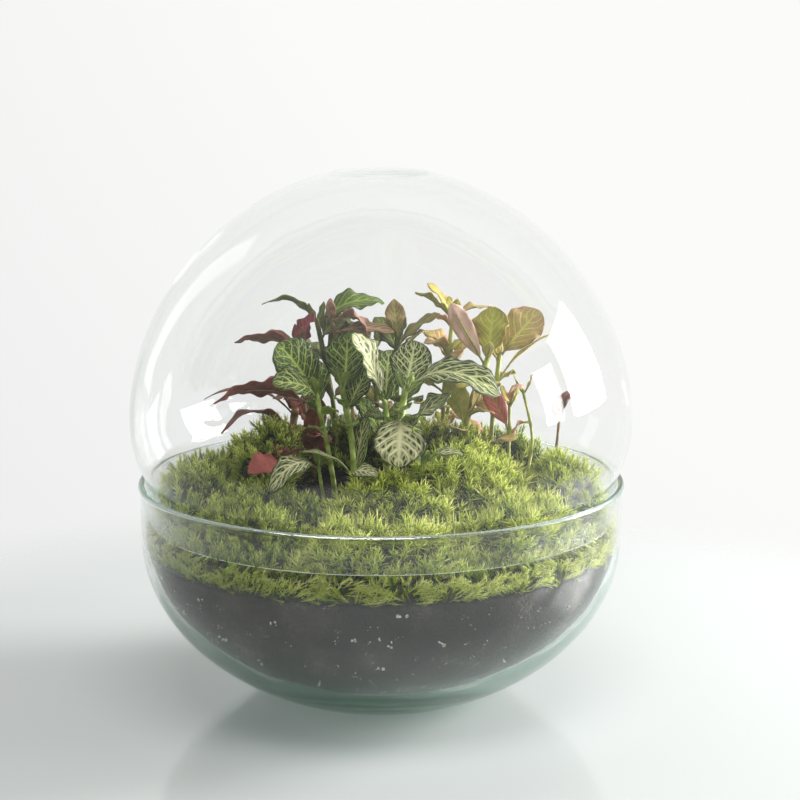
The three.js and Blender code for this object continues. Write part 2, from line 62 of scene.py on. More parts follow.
# Studio. A bright white room: daylight from tall windows on the right and a weaker one on the
# left, a pale backdrop that is brightest at the right, and a darker room behind the camera.
WINDOW_SIDE = Vector((0.45, 0.82, 0.30)).normalized()
WINDOWS = [
    ("window_right", (1.54, 0.44, 0.56), (0.70, 0.78), 40.0),
    ("window_right_low", (1.53, -0.27, 0.48), (0.32, 0.55), 5.0),
    ("window_left", (-1.20, 1.05, 0.75), (0.3, 1.3), 0.7),
]
SOFT_LIGHTS = [
    ("room_light", (0.1, -0.5, 1.7), (1.2, 0.8), 10.0),
    ("front_fill", (-0.6, -1.4, 0.45), (1.0, 0.8), 3.2),
]
ROOM_SHARE = 0.36
PLANT_HEIGHT = Vector((0, 0, 0.16))


def linear(shade):
    """A colour given as sRGB hex, as the linear RGBA that shaders take."""
    parts = [int(shade[i:i + 2], 16) / 255 for i in (1, 3, 5)]
    return (*(c / 12.92 if c <= 0.04045 else ((c + 0.055) / 1.055) ** 2.4 for c in parts), 1.0)


def node_adder(tree):
    """The function that adds shader nodes to a tree. Inputs are values to set, or outputs to link,
    where a node stands for its first output. Stops fill a colour ramp."""

    def add(kind, inputs=(), stops=(), **settings):
        made = tree.nodes.new("ShaderNode" + kind)
        for name, value in settings.items():
            setattr(made, name, value)
        for name, value in dict(inputs).items():
            if isinstance(value, bpy.types.Node):
                value = value.outputs[0]
            if isinstance(value, bpy.types.NodeSocket):
                tree.links.new(value, made.inputs[name])
            else:
                made.inputs[name].default_value = value
        for i, (place, shade) in enumerate(stops):
            stop = made.color_ramp.elements[i] if i < 2 else made.color_ramp.elements.new(place)
            stop.position = place
            stop.color = linear(shade)
        return made

    return add


def area_light(name, place, size, power):
    light = bpy.data.objects.new(name, bpy.data.lights.new(name, "AREA"))
    light.data.shape = "RECTANGLE"
    light.data.size, light.data.size_y = size
    light.data.energy = power
    light.location = place
    light.rotation_euler = (PLANT_HEIGHT - light.location).to_track_quat("-Z", "Y").to_euler()
    light.visible_camera = False
    bpy.context.scene.collection.objects.link(light)
    return light


for window in WINDOWS:
    area_light(*window)
# The soft light from overhead and from the front leaves no mirror image of its own in the glass.
for soft_light in SOFT_LIGHTS:
    soft = area_light(*soft_light)
    soft.visible_glossy = False
    soft.visible_transmission = False

world = bpy.data.worlds.new("white_room")
bpy.context.scene.world = world
world.use_nodes = True
world.node_tree.nodes.clear()
add = node_adder(world.node_tree)
direction = add("TexCoord").outputs["Generated"]
facing = add("VectorMath", {0: direction, 1: WINDOW_SIDE}, operation="DOT_PRODUCT")
spread = add("MapRange", {"Value": facing.outputs["Value"], "From Min": -1.0})
walls = [
    (0.08, "#77797a"), (0.28, "#c6c8c8"), (0.60, "#e4e5e4"), (0.82, "#eeefee"), (0.91, "#fbfbfa"),
]
daylight = add("ValToRGB", {"Fac": spread}, walls)
# The walls look bright, but they light the plants less than the windows do.
sight = add("LightPath").outputs["Is Diffuse Ray"]
share = add("MapRange", {"Value": sight, "To Min": 1.0, "To Max": ROOM_SHARE})
glow = add("Background", {"Color": daylight, "Strength": share})
add("OutputWorld", {"Surface": glow})
world.cycles.sampling_method = "NONE"

# Table. A plain pale top of back-painted glass, which mirrors the room softly. It fades into the
# backdrop all round, so that no edge shows from any side.
TABLE_RADIUS = 0.9
TABLE_STEPS = 96
TABLE_DROP = 0.0003
TABLE_FADE = (0.30, 0.50)
TABLE_GLOW = 0.16
GLOW_REACH = (0.07, 0.20)


def new_material(name):
    """An empty material, the function that adds its nodes, and its object's coordinates."""
    material = bpy.data.materials.new(name)
    material.use_nodes = True
    material.node_tree.nodes.clear()
    add = node_adder(material.node_tree)
    return material, add, add("TexCoord").outputs["Object"]


def finish_object(name, mesh, materials):
    made = bpy.data.objects.new(name, mesh)
    for material in materials:
        mesh.materials.append(material)
    bpy.context.scene.collection.objects.link(made)
    return made


# Back-painted float glass: smooth and pale blue-green, with a faint soft mirror image in it.
table_glass, add, place = new_material("back_painted_glass")
reach = add("VectorMath", {0: place}, operation="LENGTH").outputs["Value"]
fade = add(
    "MapRange", {"Value": reach, "From Min": TABLE_FADE[0], "From Max": TABLE_FADE[1]},
    interpolation_type="SMOOTHSTEP",
)
# The bowl's thick base gathers daylight on the table. Here that light is painted: the table itself
# glows faintly round the bowl's foot.
painted_glow_round_foot = add(
    "MapRange",
    {
        "Value": reach, "From Min": GLOW_REACH[0], "From Max": GLOW_REACH[1],
        "To Min": TABLE_GLOW, "To Max": 0.0,
    },
    interpolation_type="SMOOTHSTEP",
)
top = add(
    "BsdfPrincipled",
    {
        "Base Color": linear("#e3e8e6"), "Roughness": 0.08, "IOR": 1.45,
        "Emission Color": linear("#d8ebe4"), "Emission Strength": painted_glow_round_foot,
    },
)
nothing = add("BsdfTransparent")
faded = add("MixShader", {0: fade, 1: top, 2: nothing})
add("OutputMaterial", {"Surface": faded})

disc = bmesh.new()
drop = Matrix.Translation((0, 0, -TABLE_DROP))
bmesh.ops.create_circle(disc, cap_ends=True, segments=TABLE_STEPS, radius=TABLE_RADIUS, matrix=drop)
table_mesh = bpy.data.meshes.new("table")
disc.to_mesh(table_mesh)
disc.free()
finish_object("table", table_mesh, [table_glass])

# Bowl. Soda-lime glass blown in a mould, about 3 mm thick at the collar and 12 mm in the flat
# base. Its collar stands upright and ends in a rim that the flame has melted to a bead.
BOWL_RADIUS = 0.1449
BOWL_DEPTH = 0.108
COLLAR_START = 0.100
COLLAR_END = 0.125
INNER_RADIUS = 0.142
INNER_DEPTH = 0.101
INNER_FLOOR = 0.012
HEEL = 0.012
HEEL_STEPS = 8
BEAD_RADIUS = 0.002
BEAD_CENTRE = (0.144, 0.130)
BEAD_START = -0.5
BEAD_STEPS = 10
WALL_STEPS = 28
GLASS_STEPS = 144
CORNER_ANGLE = radians(22)
CORNER_ROUNDING = 0.0007
CORNER_STEPS = 3


def arc(radius, centre, rise, start, end, steps, squareness=2.0):
    """Points of a superellipse about a height on the axis, as (radius, height) pairs."""
    points = []
    for i in range(steps + 1):
        angle = start + (end - start) * i / steps
        lift = abs(sin(angle)) ** (2 / squareness)
        height = centre + (rise * lift if angle > 0 else -rise * lift)
        points.append((radius * max(cos(angle), 0.0) ** (2 / squareness), height))
    return points


def turned(profile, steps):
    """A profile turned once round the vertical axis, closed where it meets the axis."""
    shape = bmesh.new()
    corners = [shape.verts.new((radius, 0, height)) for radius, height in profile]
    edges = [shape.edges.new(pair) for pair in zip(corners, corners[1:])]
    bmesh.ops.spin(
        shape, geom=corners + edges, cent=(0, 0, 0), axis=(0, 0, 1),
        angle=2 * pi, steps=steps, use_merge=True,
    )
    bmesh.ops.remove_doubles(shape, verts=shape.verts, dist=1e-6)
    bmesh.ops.recalc_face_normals(shape, faces=shape.faces)
    return shape


def blown_glass(name, profile, material):
    """A turned glass body whose corners are rounded, in the place of the solid of that name."""
    shape = turned(profile, GLASS_STEPS)
    sharp = [e for e in shape.edges if e.is_manifold and e.calc_face_angle() > CORNER_ANGLE]
    bmesh.ops.bevel(
        shape, geom=sharp, offset=CORNER_ROUNDING, offset_type="OFFSET", affect="EDGES",
        segments=CORNER_STEPS, profile=0.5, material=-1, clamp_overlap=True,
    )
    mesh = bpy.data.meshes.new(name)
    shape.to_mesh(mesh)
    shape.free()
    mesh.shade_smooth()
    made = finish_object(name + "_blown", mesh, [material])
    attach(made, "root")
    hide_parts(name)
    return made


# Soda-lime glass, blown: clear and glossy, with the slow waves of blown glass in its reflections,
# and iron in it that shows grey-green only where the glass is thick. The face that the bowl stands
# on has been rubbed dull.
WAVE_SIZE = 0.045
WAVE_HEIGHT = 0.004
RUBBED_HEIGHTS = (0.0012, 0.0002)
RUBBED_ROUGHNESS = 0.45
TRAPPED_DEPTH = 7.0


def blown_soda_lime_glass(name, tint, density):
    material, add, place = new_material(name)
    waves = add("TexNoise", {"Vector": place, "Scale": 1 / WAVE_SIZE, "Detail": 1.0})
    ripple = add("Bump", {"Height": waves, "Strength": 0.10, "Distance": WAVE_HEIGHT})
    height = add("SeparateXYZ", {0: place}).outputs["Z"]
    dull = add(
        "MapRange",
        {
            "Value": height, "From Min": RUBBED_HEIGHTS[0], "From Max": RUBBED_HEIGHTS[1],
            "To Max": RUBBED_ROUGHNESS,
        },
    )
    glass = add(
        "BsdfPrincipled",
        {
            "Base Color": linear("#ffffff"), "Roughness": dull, "IOR": 1.5,
            "Transmission Weight": 1.0, "Normal": ripple,
        },
    )
    iron = add("VolumeAbsorption", {"Color": linear(tint), "Density": density})
    rays = add("LightPath").outputs
    open_way = add("BsdfTransparent")
    bounced = add("MixShader", {0: rays["Is Diffuse Ray"], 1: glass, 2: open_way})
    # Light that is mirrored on and on inside the rim or base would never come out, so it is let out.
    trapped = add("Math", {0: rays["Ray Depth"], 1: TRAPPED_DEPTH}, operation="GREATER_THAN")
    let_out = add("MixShader", {0: trapped, 1: bounced, 2: open_way})
    mirrored = add("MixShader", {0: rays["Is Reflection Ray"], 1: bounced, 2: let_out})
    shaded = add("MixShader", {0: rays["Is Shadow Ray"], 1: mirrored, 2: open_way})
    add("OutputMaterial", {"Surface": shaded, "Volume": iron})
    return material


def bowl_inside(gap, steps):
    """The bowl's inside from its collar down to the axis, drawn in by a gap, its heel rounded."""
    end = -asin((COLLAR_START - INNER_FLOOR) / INNER_DEPTH)
    wall = arc(INNER_RADIUS - gap, COLLAR_START, INNER_DEPTH - gap, 0, end, steps)
    corner = wall[-1]
    curve = [point for point in wall if point[0] > corner[0] + HEEL]
    start, finish = curve[-1], (corner[0] - HEEL, corner[1])
    for i in range(1, HEEL_STEPS + 1):
        t = i / HEEL_STEPS
        blends = zip(start, corner, finish)
        curve.append(tuple(a * (1 - t) ** 2 + 2 * b * t * (1 - t) + c * t ** 2 for a, b, c in blends))
    return curve + [(0, corner[1])]


base_angle = asin(COLLAR_START / BOWL_DEPTH)
bowl_profile = [(0, 0)]
bowl_profile += arc(BOWL_RADIUS, COLLAR_START, BOWL_DEPTH, -base_angle, 0, WALL_STEPS)
bowl_profile.append((BOWL_RADIUS, COLLAR_END))
for i in range(BEAD_STEPS + 1):
    angle = BEAD_START + i * (pi - BEAD_START) / BEAD_STEPS
    across, up = BEAD_CENTRE
    bowl_profile.append((across + BEAD_RADIUS * cos(angle), up + BEAD_RADIUS * sin(angle)))
bowl_material = blown_soda_lime_glass("thick_blown_soda_lime_glass", "#95c0ad", 21.0)
bowl = blown_glass("glass_bowl", bowl_profile + bowl_inside(0, WALL_STEPS), bowl_material)

# A bright card over the table, which nothing but the bowl mirrors: it draws the bright lines
# along the rim's bead.
glint = area_light("rim_glint", (-0.2, 0.0, 1.4), (3.2, 1.2), 300.0)
glint.visible_diffuse = False
glint.light_linking.receiver_collection = bpy.data.collections.new("mirrors_the_glint")
glint.light_linking.receiver_collection.objects.link(bowl)

# Lid. The same glass, blown as a ball with a thick flat button on top, where it was cut from the
# blowing iron. Its neck tapers and drops inside the bowl's collar like a stopper.
BALL_RADIUS = 0.1503
BALL_CENTRE = 0.169
BALL_UPPER = 0.150
BALL_LOWER = 0.1003
BALL_SQUARENESS = 1.9
LID_WALL = 0.0026
BUTTON_RADIUS = 0.028
BUTTON_RISE = 0.0008
BUTTON_THICKNESS = 0.006
BUTTON_STEPS = 10
NECK = [(0.1422, 0.1365), (0.14165, 0.130), (0.141, 0.124), (0.1399, 0.116), (0.1384, 0.110)]
NECK_EDGE = 0.1085
LOWER_LID_STEPS = 10


def lid_wall(inset):
    """The ball's wall from above the neck to the button, inset from its outer face."""
    radius = BALL_RADIUS - inset
    low = asin((BALL_CENTRE - NECK[0][1]) / BALL_LOWER)
    lower = arc(radius, BALL_CENTRE, BALL_LOWER - inset, -low, 0, LOWER_LID_STEPS)[1:-1]
    end = acos((BUTTON_RADIUS / radius) ** (BALL_SQUARENESS / 2))
    upper = arc(radius, BALL_CENTRE, BALL_UPPER - inset, 0, end, WALL_STEPS, BALL_SQUARENESS)
    return lower + upper


def button_face(edge, middle):
    """One face of the button, from its edge in to the axis, where it reaches the middle height."""
    face = []
    for i in range(1, BUTTON_STEPS + 1):
        share = i / BUTTON_STEPS
        ease = share ** 2 * (3 - 2 * share)
        face.append((BUTTON_RADIUS * (1 - share), edge + (middle - edge) * ease))
    return face


neck_edge = (NECK[-1][0] - LID_WALL / 2, NECK_EDGE)
lid_outside = NECK[::-1] + lid_wall(0)
lid_inside = [(radius - LID_WALL, height) for radius, height in NECK[::-1]] + lid_wall(LID_WALL)
lid_top = lid_outside[-1][1] + BUTTON_RISE
lid_outside += button_face(lid_outside[-1][1], lid_top)
lid_inside += button_face(lid_inside[-1][1], lid_top - BUTTON_THICKNESS)
# The profile closes on itself at the neck's lower edge, so its two ends are merged by the spin.
lid_material = blown_soda_lime_glass("thin_blown_soda_lime_glass", "#a3c9b8", 8.0)
blown_glass("glass_lid", [neck_edge, *lid_outside, *lid_inside[::-1], neck_edge], lid_material)

# Soil. Dark peat-based potting soil with crushed white perlite in it, filled in to the glass and
# heaped in the middle. Its crumbs press against the bowl, and bare soil shows between the stems.
SOIL_GAP = 0.0009
SOIL_EDGE = 0.091
SOIL_CROWN = 0.034
SOIL_BACK_RISE = 0.010
SOIL_LUMP = 0.0008
LUMP_LENGTHS = (0.011, 0.009)
SOIL_RINGS = 44
SOIL_STEPS = 180
SOIL_WALL_STEPS = 40
CRUMB_SIZE = 0.0024
CRUMB_DEPTH = 0.0004
PEAT_FIBRE = 0.0012
DRY_PATCH = 0.03
PERLITE_PIT = 0.0009
CRUMBS_ON_TOP = 700
PERLITE_ON_TOP = 40
PERLITE_IN_WALL = 65
DUST_IN_WALL = 260
FLECKS_A_GRAIN = 3
FLECK_RISE = 0.0011
FLECK_TURN = 0.012
STREWN_SHARE = 0.93
WALL_BAND = (0.016, 0.088)
GLASS_CLEARANCE = 0.0003


def soil_top(x, y):
    """The height of the soil's surface, before its crumbs."""
    out = hypot(x, y) / INNER_RADIUS
    back = max(0, y / INNER_RADIUS)
    lumps = SOIL_LUMP * sin(x / LUMP_LENGTHS[0]) * cos(y / LUMP_LENGTHS[1]) * (1 - out ** 4)
    return SOIL_EDGE + SOIL_CROWN * (1 - out ** 2) + SOIL_BACK_RISE * back ** 2 + lumps


def glass_radius(height):
    """The bowl's inner radius at a height, or an array of them."""
    below = np.clip((COLLAR_START - np.asarray(height)) / INNER_DEPTH, 0, 1)
    return INNER_RADIUS * np.sqrt(1 - below ** 2)


def template(shape):
    """A small mesh as arrays of its corners' places and of its triangles."""
    bmesh.ops.triangulate(shape, faces=shape.faces)
    shape.verts.index_update()
    places = np.array([v.co for v in shape.verts])
    triangles = np.array([[v.index for v in face.verts] for face in shape.faces])
    shape.free()
    return places, triangles


def scattered(shape, roots, axes):
    """Copies of a template at each root, along three axes for each, which also size it."""
    places, triangles = shape
    copies = np.einsum("vk,nkj->nvj", places, axes) + roots[:, None, :]
    first = np.arange(len(roots)) * len(places)
    return copies, (triangles[None] + first[:, None, None]).reshape(-1, 3)


def joined_mesh(name, parts):
    """One mesh of parts, each of them (places, triangles, material number, attributes)."""
    starts = np.cumsum([0] + [len(part[0]) for part in parts])
    triangles = np.concatenate([part[1] + start for part, start in zip(parts, starts)])
    mesh = bpy.data.meshes.new(name)
    mesh.vertices.add(int(starts[-1]))
    mesh.loops.add(triangles.size)
    mesh.polygons.add(len(triangles))
    mesh.vertices.foreach_set("co", np.concatenate([part[0] for part in parts]).ravel())
    mesh.loops.foreach_set("vertex_index", triangles.ravel().astype(np.int32))
    mesh.polygons.foreach_set("loop_start", np.arange(0, triangles.size, 3, dtype=np.int32))
    numbers = np.concatenate([np.full(len(part[1]), part[2], dtype=np.int32) for part in parts])
    mesh.polygons.foreach_set("material_index", numbers)
    for attribute in parts[0][3]:
        layer = mesh.attributes.new(attribute, "FLOAT", "POINT")
        values = np.concatenate([part[3][attribute] for part in parts])
        layer.data.foreach_set("value", values.astype(np.float32))
    mesh.update(calc_edges=True)
    mesh.validate()
    return mesh


def random_axes(draw, count, smallest, largest):
    """Axes turned at random, each with a length of its own between the two sizes."""
    turned_axes = np.linalg.qr(draw.normal(size=(count, 3, 3)))[0]
    return turned_axes * draw.uniform(smallest, largest, (count, 3, 1))


# Moist peat: nearly black brown crumbs and fibres, wholly matt, mottled by drier grey ones.
peat, add, place = new_material("moist_peat_soil")
crumbs = add("TexVoronoi", {"Vector": place, "Scale": 1 / CRUMB_SIZE, "Randomness": 1.0})
grains = add("TexNoise", {"Vector": place, "Scale": 1 / PEAT_FIBRE, "Detail": 3.0, "Roughness": 0.8})
patches = add("TexNoise", {"Vector": place, "Scale": 1 / DRY_PATCH, "Detail": 2.0})
dryness = add("Math", {0: grains, 1: patches}, operation="MULTIPLY")
peat_shades = [(0.14, "#100d0c"), (0.24, "#241f1c"), (0.33, "#3f3833"), (0.44, "#7f776f")]
shade = add("ValToRGB", {"Fac": dryness}, peat_shades)
relief = add("Math", {0: grains, 1: crumbs}, operation="SUBTRACT")
rough = add("Bump", {"Height": relief, "Strength": 0.6, "Distance": 0.0008})
body = add("BsdfPrincipled", {"Base Color": shade, "Roughness": 0.95, "Normal": rough})
add("OutputMaterial", {"Surface": body})

# Expanded perlite: crushed white volcanic glass, dull and full of fine pits, dusty grey from peat.
perlite, add, place = new_material("expanded_perlite")
pits = add("TexNoise", {"Vector": place, "Scale": 1 / PERLITE_PIT, "Detail": 2.0})
shade = add("ValToRGB", {"Fac": pits}, [(0.35, "#8f8b84"), (0.6, "#e6e2d8")])
body = add("BsdfPrincipled", {"Base Color": shade, "Roughness": 0.85})
add("OutputMaterial", {"Surface": body})

soil_wall = [point for point in bowl_inside(SOIL_GAP, SOIL_WALL_STEPS) if point[1] < SOIL_EDGE]
soil_radius = float(glass_radius(SOIL_EDGE)) - SOIL_GAP
soil_rings = [(soil_radius * (1 - i / SOIL_RINGS), SOIL_EDGE) for i in range(SOIL_RINGS + 1)]
soil_shape = turned(soil_wall[::-1] + soil_rings, SOIL_STEPS)
for corner in soil_shape.verts:
    x, y, z = corner.co
    crumb = noise.fractal(corner.co / CRUMB_SIZE / 2, 1.0, 2.0, 3)
    if z >= SOIL_EDGE - 1e-5:
        corner.co.z = soil_top(x, y) + 1.5 * CRUMB_DEPTH * crumb
    else:
        inwards = 1 - CRUMB_DEPTH * (0.5 + 0.5 * crumb) / INNER_DEPTH
        corner.co = Vector((x * inwards, y * inwards, COLLAR_START - (COLLAR_START - z) * inwards))

draw = np.random.default_rng(5)
grain_shape = bmesh.new()
bmesh.ops.create_icosphere(grain_shape, subdivisions=1, radius=1.0)
grain_shape = template(grain_shape)


def on_soil(draw, count):
    """Seeded places on the soil's surface, evenly spread over it."""
    radii = STREWN_SHARE * INNER_RADIUS * np.sqrt(draw.uniform(0, 1, count))
    turns = draw.uniform(0, 2 * pi, count)
    across = np.stack([radii * np.cos(turns), radii * np.sin(turns)], axis=1)
    return np.array([(x, y, soil_top(x, y)) for x, y in across])


def in_wall(draw, count):
    """Seeded places just inside the glass, where grains press against it."""
    heights = draw.uniform(*WALL_BAND, count)
    turns = draw.uniform(0, 2 * pi, count)
    flecks = count * FLECKS_A_GRAIN
    heights = np.repeat(heights, FLECKS_A_GRAIN) + draw.normal(0, FLECK_RISE, flecks)
    turns = np.repeat(turns, FLECKS_A_GRAIN) + draw.normal(0, FLECK_TURN, flecks)
    radii = glass_radius(heights) - SOIL_GAP + 0.0002
    return np.stack([radii * np.cos(turns), radii * np.sin(turns), heights], axis=1)


soil_parts = [(*template(soil_shape), 0, {})]
for roots, sizes, number in [
    (on_soil(draw, CRUMBS_ON_TOP), (0.0006, 0.0021), 0),
    (on_soil(draw, PERLITE_ON_TOP), (0.0006, 0.0016), 1),
    (in_wall(draw, PERLITE_IN_WALL), (0.0003, 0.0013), 1),
    (in_wall(draw, DUST_IN_WALL), (0.0001, 0.0004), 1),
]:
    places, triangles = scattered(grain_shape, roots, random_axes(draw, len(roots), *sizes))
    reach = np.hypot(places[..., 0], places[..., 1])
    limit = np.minimum(1, (glass_radius(places[..., 2]) - GLASS_CLEARANCE) / np.maximum(reach, 1e-6))
    places[..., :2] *= limit[..., None]
    soil_parts.append((places.reshape(-1, 3), triangles, number, {}))
soil = finish_object("potting_soil_fill", joined_mesh("potting_soil_fill", soil_parts), [peat, perlite])
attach(soil, "root")
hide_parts("potting_soil")

# Moss. Living cushions of feathery shoots, laid on the soil in pieces and pressed to the glass
# round the edge. Old brown growth shows underneath, and fresh tips stand out yellow-green.
MOSS_PIECES = {
    "moss_edge_right": "light", "moss_edge_back_right": "dark", "moss_edge_back": "dark",
    "moss_edge_back_left": "dark", "moss_edge_left": "dark", "moss_edge_front_left": "dark",
    "moss_edge_front": "light", "moss_edge_front_right": "light", "moss_mound_left": "dark",
    "moss_mound_back": "dark", "moss_mound_right": "light", "moss_front_right": "light",
    "moss_front": "light", "moss_front_left": "dark",
}
STAR_PIECES = ["moss_front", "moss_front_right", "moss_edge_front", "moss_edge_front_right"]
# The pieces on the left, where the windows light the moss weakly, have their shoots tinted lighter:
# painted light.
LEFT_PIECES_PAINTED_LIGHTER = ["moss_edge_left", "moss_mound_left", "moss_edge_back_left"]
PAINTED_LIGHT_TINT = 0.25
NEEDLE_WIDTH = 0.00085
GOLDEN_ANGLE = pi * (3 - sqrt(5))
# Shoots by their form: count of leaves, height, leaf length, lean of the lowest and highest leaf.
SHOOT_FORMS = {
    "plume": (11, 0.0095, 0.0052, 58, 18),
    "star": (14, 0.0088, 0.0084, 82, 30),
    "strand": (12, 0.0095, 0.0042, 48, 26),
}
SHOOTS_OF_A_FORM = 4
SHOOTS_PER_AREA = 0.110e6
STRANDS_PER_AREA = 0.26e6
STAR_SHARE = 0.42
CLUMP_SIZE = 0.011
CLUMP_HEIGHT = 0.0030
UNDER_NECK = 0.1075
NECK_INSIDE = 0.1353
CORE_EDGE = 0.003
WALL_SIDE = 0.130
STAR_REACH = 0.1345
LEAN_START = 0.128
LEAN_RUN = 0.008
INWARD_LEAN = 0.35
LEAN_RADIUS = 0.135
SWIRL_SIZE = 0.016
BROWN_BELOW = 0.0945
BROWN_RUN = 0.005
MOSS_PATCH = 0.022
OLD_MOSS_FIBRE = 0.0025


def moss_shoot(form, seed):
    """One shoot: a stem with pointed leaves wound up round it, as a template and its heights."""
    leaves, height, length, low_lean, high_lean = SHOOT_FORMS[form]
    draw = np.random.default_rng(seed)
    shoot = bmesh.new()
    needle = NEEDLE_WIDTH * {"plume": 1, "star": 1.25, "strand": 0.7}[form]
    bmesh.ops.create_cone(
        shoot, cap_ends=True, segments=3, radius1=needle * 0.45, radius2=needle * 0.2,
        depth=height * 0.9, matrix=Matrix.Translation((0, 0, height * 0.45)),
    )
    for i in range(leaves):
        up = (i + 0.5) / leaves
        lean = radians(low_lean + (high_lean - low_lean) * up + draw.uniform(-10, 10))
        leaf = length * (1 - 0.4 * up) * draw.uniform(0.8, 1.2)
        turn = i * GOLDEN_ANGLE + draw.uniform(-0.3, 0.3)
        matrix = Matrix.Translation((0, 0, height * (0.18 + 0.74 * up)))
        matrix @= Matrix.Rotation(turn, 4, "Z") @ Matrix.Rotation(lean, 4, "Y")
        matrix @= Matrix.Diagonal((0.5, 1, 1, 1)) @ Matrix.Translation((0, 0, leaf / 2))
        bmesh.ops.create_cone(
            shoot, cap_ends=True, segments=3, radius1=needle / 2, radius2=0,
            depth=leaf, matrix=matrix,
        )
    bmesh.ops.remove_doubles(shoot, verts=shoot.verts, dist=1e-7)
    return template(shoot)


shoots = {
    form: [moss_shoot(form, seed) for seed in range(SHOOTS_OF_A_FORM)] for form in SHOOT_FORMS
}


def moss_core(node):
    """The cushion's own solid, its loose triangles merged, roughened into clumps."""
    core = bmesh.new()
    core.from_mesh(node.data)
    bmesh.ops.remove_doubles(core, verts=core.verts, dist=1e-6)
    longest = [e for e in core.edges if e.calc_length() > CORE_EDGE]
    bmesh.ops.subdivide_edges(core, edges=longest, cuts=2, use_grid_fill=True)
    bmesh.ops.triangulate(core, faces=core.faces)
    core.normal_update()
    moves = []
    for corner in core.verts:
        clump = noise.noise(corner.co / CLUMP_SIZE)
        moves.append(corner.normal * (CLUMP_HEIGHT * clump) if corner.normal.z > 0.2 else Vector())
    for corner, move in zip(core.verts, moves):
        corner.co += move
    return core


def kept_inside(places):
    """Places pulled in to the bowl's glass, and to the lid's neck above its lower edge."""
    radii = np.hypot(places[..., 0], places[..., 1])
    limits = glass_radius(places[..., 2]) - GLASS_CLEARANCE
    limits = np.where(places[..., 2] > UNDER_NECK, np.minimum(limits, NECK_INSIDE), limits)
    places[..., :2] *= np.minimum(1, limits / np.maximum(radii, 1e-6))[..., None]
    return places


def noise_at(roots, size):
    """Smooth noise of a size, at each root."""
    return np.array([noise.noise(Vector(root) / size) for root in roots])


def sampled(draw, core, weights, density):
    """Seeded places on a core's triangles, so many for each weighted area, and their normals."""
    places, triangles = core
    count = int(weights.sum() * density)
    picked = draw.choice(len(triangles), size=count, p=weights / weights.sum())
    a, b, c = (places[triangles[picked, k]] for k in range(3))
    s, t = np.sqrt(draw.uniform(0, 1, (count, 1))), draw.uniform(0, 1, (count, 1))
    normals = np.cross(b - a, c - a)
    normals /= np.linalg.norm(normals, axis=1, keepdims=True)
    return a * (1 - s) + b * s * (1 - t) + c * s * t, normals


def grow_axes(draw, upward, sizes, spread):
    """Axes for shoots that grow along a direction, turned at random about it."""
    count = len(upward)
    upward = upward + draw.normal(0, spread, (count, 3))
    upward /= np.linalg.norm(upward, axis=1, keepdims=True)
    side = np.cross(upward, draw.normal(size=(count, 3)))
    side /= np.linalg.norm(side, axis=1, keepdims=True)
    axes = np.stack([side, np.cross(upward, side), upward], axis=1)
    return axes * sizes[:, None, None]


def moss_part(draw, form, roots, axes, tint, number):
    """Shoots of a form, planted at their roots, with the height and tint of each point."""
    parts = []
    kinds = draw.integers(0, SHOOTS_OF_A_FORM, len(roots))
    for kind in range(SHOOTS_OF_A_FORM):
        chosen = kinds == kind
        if not chosen.any():
            continue
        shoot = shoots[form][kind]
        places, triangles = scattered(shoot, roots[chosen], axes[chosen])
        corners = shoot[0]
        out = np.hypot(corners[:, 0], corners[:, 1]) / SHOOT_FORMS[form][2]
        height = np.clip(0.62 * corners[:, 2] / SHOOT_FORMS[form][1] + 0.5 * out, 0, 1)
        attributes = {
            "height": np.tile(height, chosen.sum()),
            "tint": np.repeat(tint[chosen], len(corners)),
        }
        parts.append((kept_inside(places).reshape(-1, 3), triangles, number, attributes))
    return parts


def moss_leaf_material(name, shades, dry):
    """Living moss: thin matt leaves, yellow-green at the tip, darker at the root: own colour and
    painted shade.
    """
    material, add, place = new_material(name)
    height = add("Attribute", attribute_name="height").outputs["Fac"]
    tint = add("Attribute", attribute_name="tint").outputs["Fac"]
    patches = add("TexNoise", {"Vector": place, "Scale": 1 / MOSS_PATCH, "Detail": 2.0})
    shift = add("Math", {0: patches, 1: 0.3, 2: -0.15}, operation="MULTIPLY_ADD")
    ripe = add("Math", {0: tint, 1: 0.5, 2: shift}, operation="MULTIPLY_ADD")
    level = add("Math", {0: height, 1: ripe}, operation="ADD")
    green = add("ValToRGB", {"Fac": level}, shades)
    old = add("MapRange", {"Value": tint, "From Min": 0.0, "From Max": -0.6, "To Max": 0.85})
    colour = add("Mix", {0: old, 6: green, 7: linear(dry)}, data_type="RGBA")
    body = add(
        "BsdfPrincipled",
        {
            "Base Color": colour.outputs[2], "Roughness": 0.7, "Specular IOR Level": 0.25,
            "Subsurface Weight": 0.3, "Subsurface Radius": (0.8, 1.0, 0.3), "Subsurface Scale": 0.001,
        },
    )
    add("OutputMaterial", {"Surface": body})
    return material


# Low on each shoot the shades run down to nearly black, which is partly the older leaves' colour and
# partly painted shade.
moss_shades = {
    "light": [(0.15, "#161f0a"), (0.42, "#617e18"), (0.72, "#c4d83c"), (1.0, "#f4f886")],
    "dark": [(0.15, "#111908"), (0.42, "#506b17"), (0.72, "#a3b936"), (1.0, "#e2ec78")],
}
moss_leaves = {
    kind: moss_leaf_material(f"{kind}_feather_moss", shades, "#8a5f35")
    for kind, shades in moss_shades.items()
}

